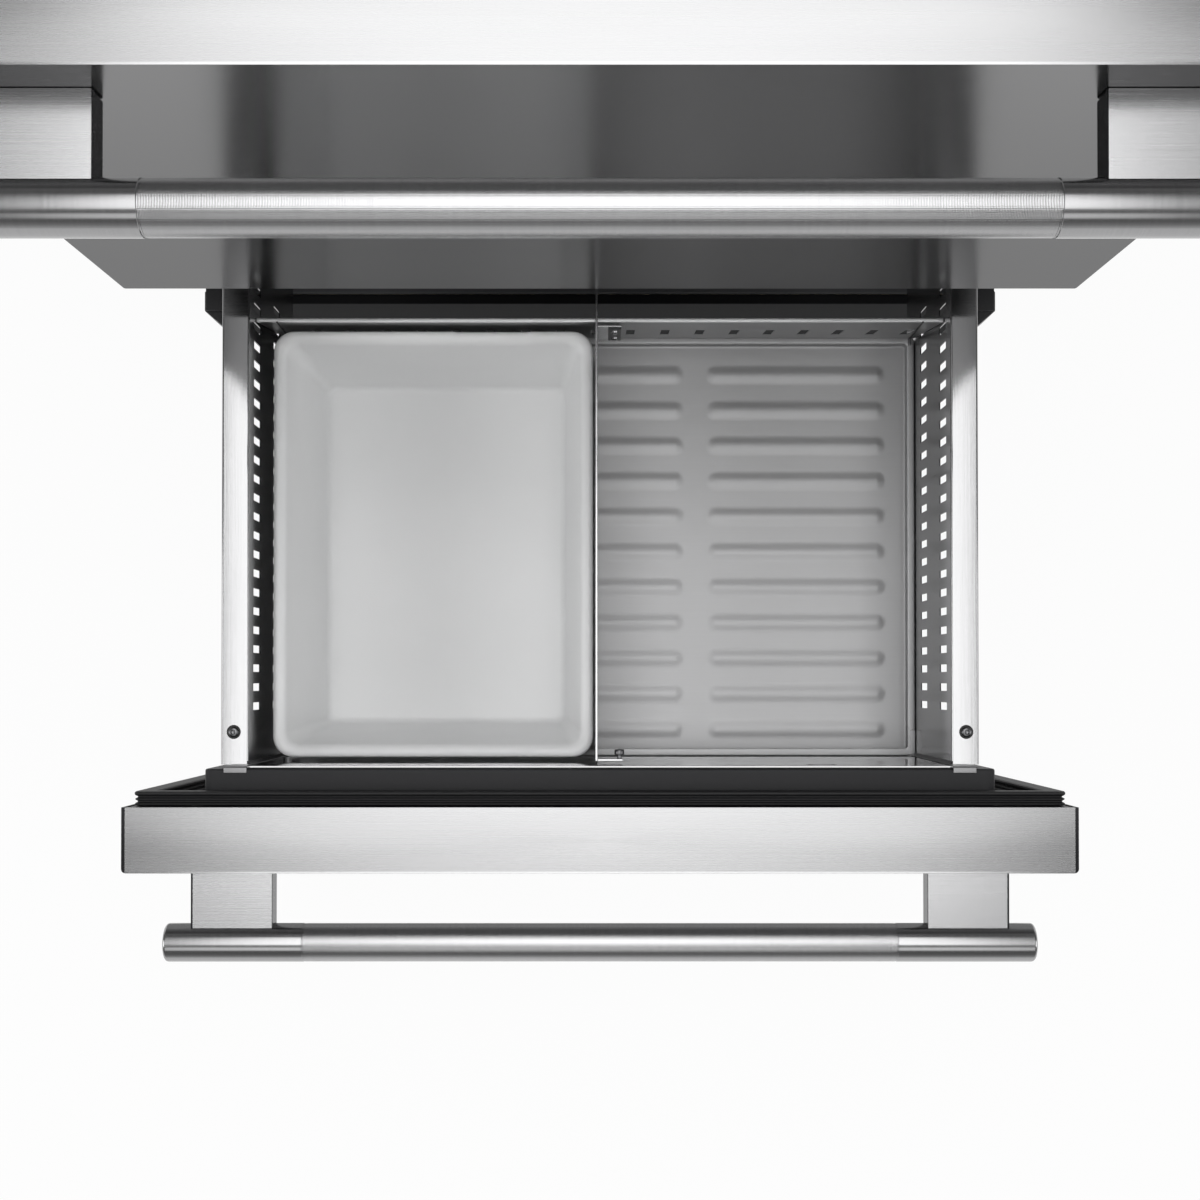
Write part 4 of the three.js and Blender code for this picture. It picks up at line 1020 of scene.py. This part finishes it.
def pressed_rib(length):
    """A pill-shaped dome that meets the pan in a smooth curve, closed below its skin."""
    straight = length / 2 - RIB_HALF
    spans = (-length / 2, length / 2), (-RIB_HALF, RIB_HALF)
    rings = [ring(*spans, RIB_HALF - HAIR, -0.0004, per_corner=7)]
    for k in range(RIB_STEPS):
        t = k / RIB_STEPS
        half = RIB_HALF * (1 - t)
        rise = RIB_RISE * (1 - cos(pi * t)) / 2
        spans = (-straight - half, straight + half), (-half, half)
        rings.append(ring(*spans, half - HAIR, rise + RIB_LIFT, per_corner=7))
    rings.append([(max(-straight, min(straight, x)), 0, RIB_RISE + RIB_LIFT) for x, _, _ in rings[-1]])
    shape = lofted(rings, topped=False)
    bmesh.ops.remove_doubles(shape, verts=shape.verts, dist=2e-5)
    bmesh.ops.dissolve_degenerate(shape, dist=1e-6, edges=shape.edges)
    bmesh.ops.recalc_face_normals(shape, faces=shape.faces)
    return shape


PAN_DROP = 0.188
# the pan's section in mm: inset, corner radius, what its height is taken from, and that height
PAN_SECTION = [
    (2.4, 1.6, "foot", 0), (0.8, 3, "foot", 0.5), (0, 3.8, "foot", 2.2), (0, 3.8, "hem", -1.2),
    (0.4, 3.4, "hem", -0.3), (1.4, 3, "hem", 0), (4.2, 2.6, "hem", 0), (5.2, 2.2, "hem", -0.4),
    (5.5, 2, "hem", -1.5), (5, 2, "hem", -3), (1.6, 3, "hem", -3.4), (1.5, 3, "floor", 2),
    (2.2, 2.6, "floor", 0.6), (4, 2, "floor", 0),
]


def section_rings(section, low, high, heights, **corners):
    """The rings of a tub between two corners, from a section in mm like the pan's."""
    rings = []
    for inset, radius, part, rise in section:
        inset, radius, z = inset * 0.001, radius * 0.001, heights[part] + rise * 0.001
        spans = (low.x + inset, high.x - inset), (low.y + inset, high.y - inset)
        rings.append(ring(*spans, radius, z, **corners))
    return rings


for level, (front_y, top) in DRAWERS.items():
    body, pan, wall = level + "_drawer", level + "_pan", level + "_back_wall"
    low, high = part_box(pan)
    floor_z = top - PAN_DROP
    tray = lofted(section_rings(PAN_SECTION, low, high, {"foot": low.z, "hem": high.z, "floor": floor_z}))
    piece(tray, level + "_tray", body, "satin_steel", pan_steel, pan)
    rounded(wall, level + "_rear_wall", body, "satin_steel", wall_steel, 0.0004)
    if level == "lower":
        for place, (x0, x1) in RIB_SPANS.items():
            first, back = ((x0 + x1) / 2, front_y + LAST_RIB, floor_z), (0, -RIB_PITCH, 0)
            ribs = repeated(pressed_rib(x1 - x0), pan_steel, first, rows=RIB_ROWS, row_step=back)
            piece(ribs, f"pan_ribs_{place}", body, "satin_steel", pan_steel, smooth=60)

# ------------------------------------------------------------------ corners of the freezer drawer
# Black sealing strips close the corners between the sides, the inner panel and the back wall.
# Two small spring clips hold the pan down at the front, and two tabs at the back.
FREEZER_Y = DRAWERS["lower"][0]
corner_rubber = moulded("black corner strip", (0.012, 0.012, 0.013), 0.5)
STRIP, STRIP_Z = 0.0022, (0.3225, 0.4455)
plug_y = FREEZER_Y + 0.0672
corner = [(WALL_X - STRIP, plug_y), (WALL_X, plug_y), (WALL_X, plug_y + STRIP)]
front_strip = prism(corner, "xy", *STRIP_Z, 0.0002)
BACK_STRIP = ((0.2165, FREEZER_Y + 0.3624, 0.4252), (0.2268, FREEZER_Y + 0.3724, 0.3215))
FLAT = ((-0.0006, -0.0003), (0.0006, -0.0003), (0.0006, 0.0003), (-0.0006, 0.0003))
back_strip = lofted([[(x + across, y + along, z) for across, along in FLAT] for x, y, z in BACK_STRIP])
strips = joined(with_mirror(front_strip), with_mirror(back_strip))
piece(strips, "corner_strips", "lower_drawer", "gasket_rubber", corner_rubber)
CLIP = [(0.2264, 0.3205), (0.2303, 0.3205), (0.2303, 0.3219), (0.2264, 0.3219)]
TAB = [(0.2256, 0.3205), (0.2282, 0.3205), (0.2276, 0.3236), (0.2262, 0.3236)]
CLIP_Y, TAB_Y = (-0.379, -0.361), (-0.0795, -0.0735)
clip = prism(CLIP, "xz", *CLIP_Y, 0.0005)
tab = prism(TAB, "xz", *TAB_Y, 0.0005)
piece(with_mirror(joined(clip, tab)), "pan_clips", "lower_drawer", "stainless", clip_steel)

# ------------------------------------------------------------------ freezer drawer's inner plate
# A polished stainless plate with a small oval slot is stuck to the inner panel between the sides.
# It mirrors the pan and the bin. Its shading leans back by three degrees, as the drafted panel
# behind it does, so that it catches the rim of the bin.
# Above this height the plate's top edge is coloured dark: painted shade in place of its highlight.
PLATE_EDGE_Z, LEAN = 0.4538, 0.052
mirror_steel = brushed(
    "mirror plate steel", (0.78, 0.78, 0.785), 0.08, ALONG_X, 0.0,
    painted_light=lambda finish: 1 - finish.within("z", 0, PLATE_EDGE_Z), painted_colour=(0.3, 0.3, 0.3),
)
leaning = Finish(mirror_steel)
leaning.set(Normal=leaning.relief(1 - leaning.at("z"), LEAN))
rounded("lower_inner_plate", "inner_plate", "lower_drawer", "polished_steel", mirror_steel, 0.0003)
SLOT_X, SLOT_Z, SLOT_RADIUS = (0.137, 0.155), (0.4365, 0.4425), 0.0029
plate_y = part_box("lower_inner_plate")[1].y
slot_rings = []
for reach, depth in ((0.0012, -0.0004), (0.0012, 0.0002), (0, 0.0002), (0, -0.0004)):
    spans = [(start - reach, end + reach) for start, end in (SLOT_X, SLOT_Z)]
    slot_rings.append(ring(*spans, SLOT_RADIUS + reach, plate_y + depth, "xz"))
rim = lofted(slot_rings, closed=True)
piece(rim, "plate_slot_rim", "lower_drawer", "polished_steel", screw_steel)

# ------------------------------------------------------------------ divider
# A thin polished plate parts the bin from the open side of the drawer. It hooks over the back
# wall and slides sideways on a foot at each end.
divider_steel = brushed("polished divider steel", (0.46, 0.46, 0.465), 0.2, ALONG_Y, 0.00001)
rounded("divider", "divider_plate", "divider", "polished_steel", divider_steel, 0.0003)
CLIP_X, CLIP_HALF, CLIP_Z = 0.01, 0.0044, (0.381, 0.4185)
left, right, clip_y = CLIP_X - CLIP_HALF, CLIP_X + CLIP_HALF, FREEZER_Y + 0.36
outline = [(left, CLIP_Z[0]), (right, CLIP_Z[0]), (right, CLIP_Z[1]), (left, CLIP_Z[1])]
clip = prism(outline, "xz", clip_y - 0.0012, clip_y + 0.0001, 0.0005)
piece(clip, "divider_clip", "divider", "black_plastic", nose_plastic)
PIN = [(0, 0.2), (2.4, 0), (2.3, -1), (1.5, -1.8), (0, -2)]
first_pin, next_pin = (CLIP_X, clip_y - 0.0012, 0.39), (0, 0, 0.021)
pins = repeated(turned(metres(PIN), "y", sides=24), divider_steel, first_pin, rows=2, row_step=next_pin)
piece(pins, "divider_pins", "divider", "polished_steel", divider_steel)
KNOB = [(0, 0), (1.6, 0), (1.6, 2.2), (3, 2.6), (3.3, 3.4), (3.3, 5.2), (2.7, 6.2), (0, 6.6)]
knob = turned(metres(KNOB), "y", (0.0128, FREEZER_Y + 0.0703, 0.4335), 24)
piece(knob, "divider_knob", "divider", "satin_steel", screw_steel)

# ------------------------------------------------------------------ ice bin
# A tapered tub of frosted plastic with a rolled rim, which dips where fingers go under it.
# It stands on the pan's ribs and lifts straight out.
bin_finish = Finish(bpy.data.materials.new("frosted bin plastic"))
frost = bin_finish.noise((900, 900, 900), 3.0)
cloud = bin_finish.noise((14, 14, 20), 2.0)
bin_plastic = bin_finish.set(
    Base_Color=bin_finish.between(cloud, (0.87, 0.875, 0.877), (0.93, 0.933, 0.935)),
    Roughness=0.34 + (frost - 0.5) * 0.2,
    Normal=bin_finish.relief(frost, 0.00006),
    Subsurface_Weight=0.3,
    Subsurface_Radius=(0.006, 0.006, 0.006),
    Subsurface_Scale=1.0,
)
GRIP_X, GRIP_DIP, GRIP_SLOPE, RIM_DEPTH = (-0.1, -0.0477), 0.0016, 0.002, 0.008
# inset from the rim's edge, corner radius, height above the base or below the rim, all in mm
BIN_SECTION = [
    (20.5, 7, "base", 0), (18.6, 8.4, "base", 0.8), (17.7, 9, "base", 4), (6.5, 11, "rim", -9),
    (1.0, 13.4, "rim", -9), (0.3, 13.8, "rim", -8.6), (0, 14, "rim", -7.6), (0, 14, "rim", -2.8),
    (0.4, 13.7, "rim", -1.3), (1.5, 13, "rim", -0.3), (3.2, 12.3, "rim", 0), (5.2, 11.6, "rim", -0.3),
    (7.2, 10.6, "rim", -1.5), (8.5, 9.8, "rim", -3.6), (9.2, 9.2, "rim", -7), (20, 7.4, "base", 9),
    (20.6, 7, "base", 5.5), (22.4, 6.4, "base", 3.2), (25.5, 5.4, "base", 2.5),
]
low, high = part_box("ice_bin")
heights = {"base": low.z, "rim": high.z}
rings = []
for points in section_rings(BIN_SECTION, low, high, heights, per_corner=10, along=60):
    if points[0][2] > high.z - RIM_DEPTH:
        dips = [max(0, min(1, min(x - GRIP_X[0], GRIP_X[1] - x) / GRIP_SLOPE)) for x, _, _ in points]
        points = [(x, y, z - GRIP_DIP * dip) for (x, y, z), dip in zip(points, dips)]
    rings.append(points)
piece(lofted(rings), "bin", "ice_bin", "bin_plastic", bin_plastic, "ice_bin", smooth=50)
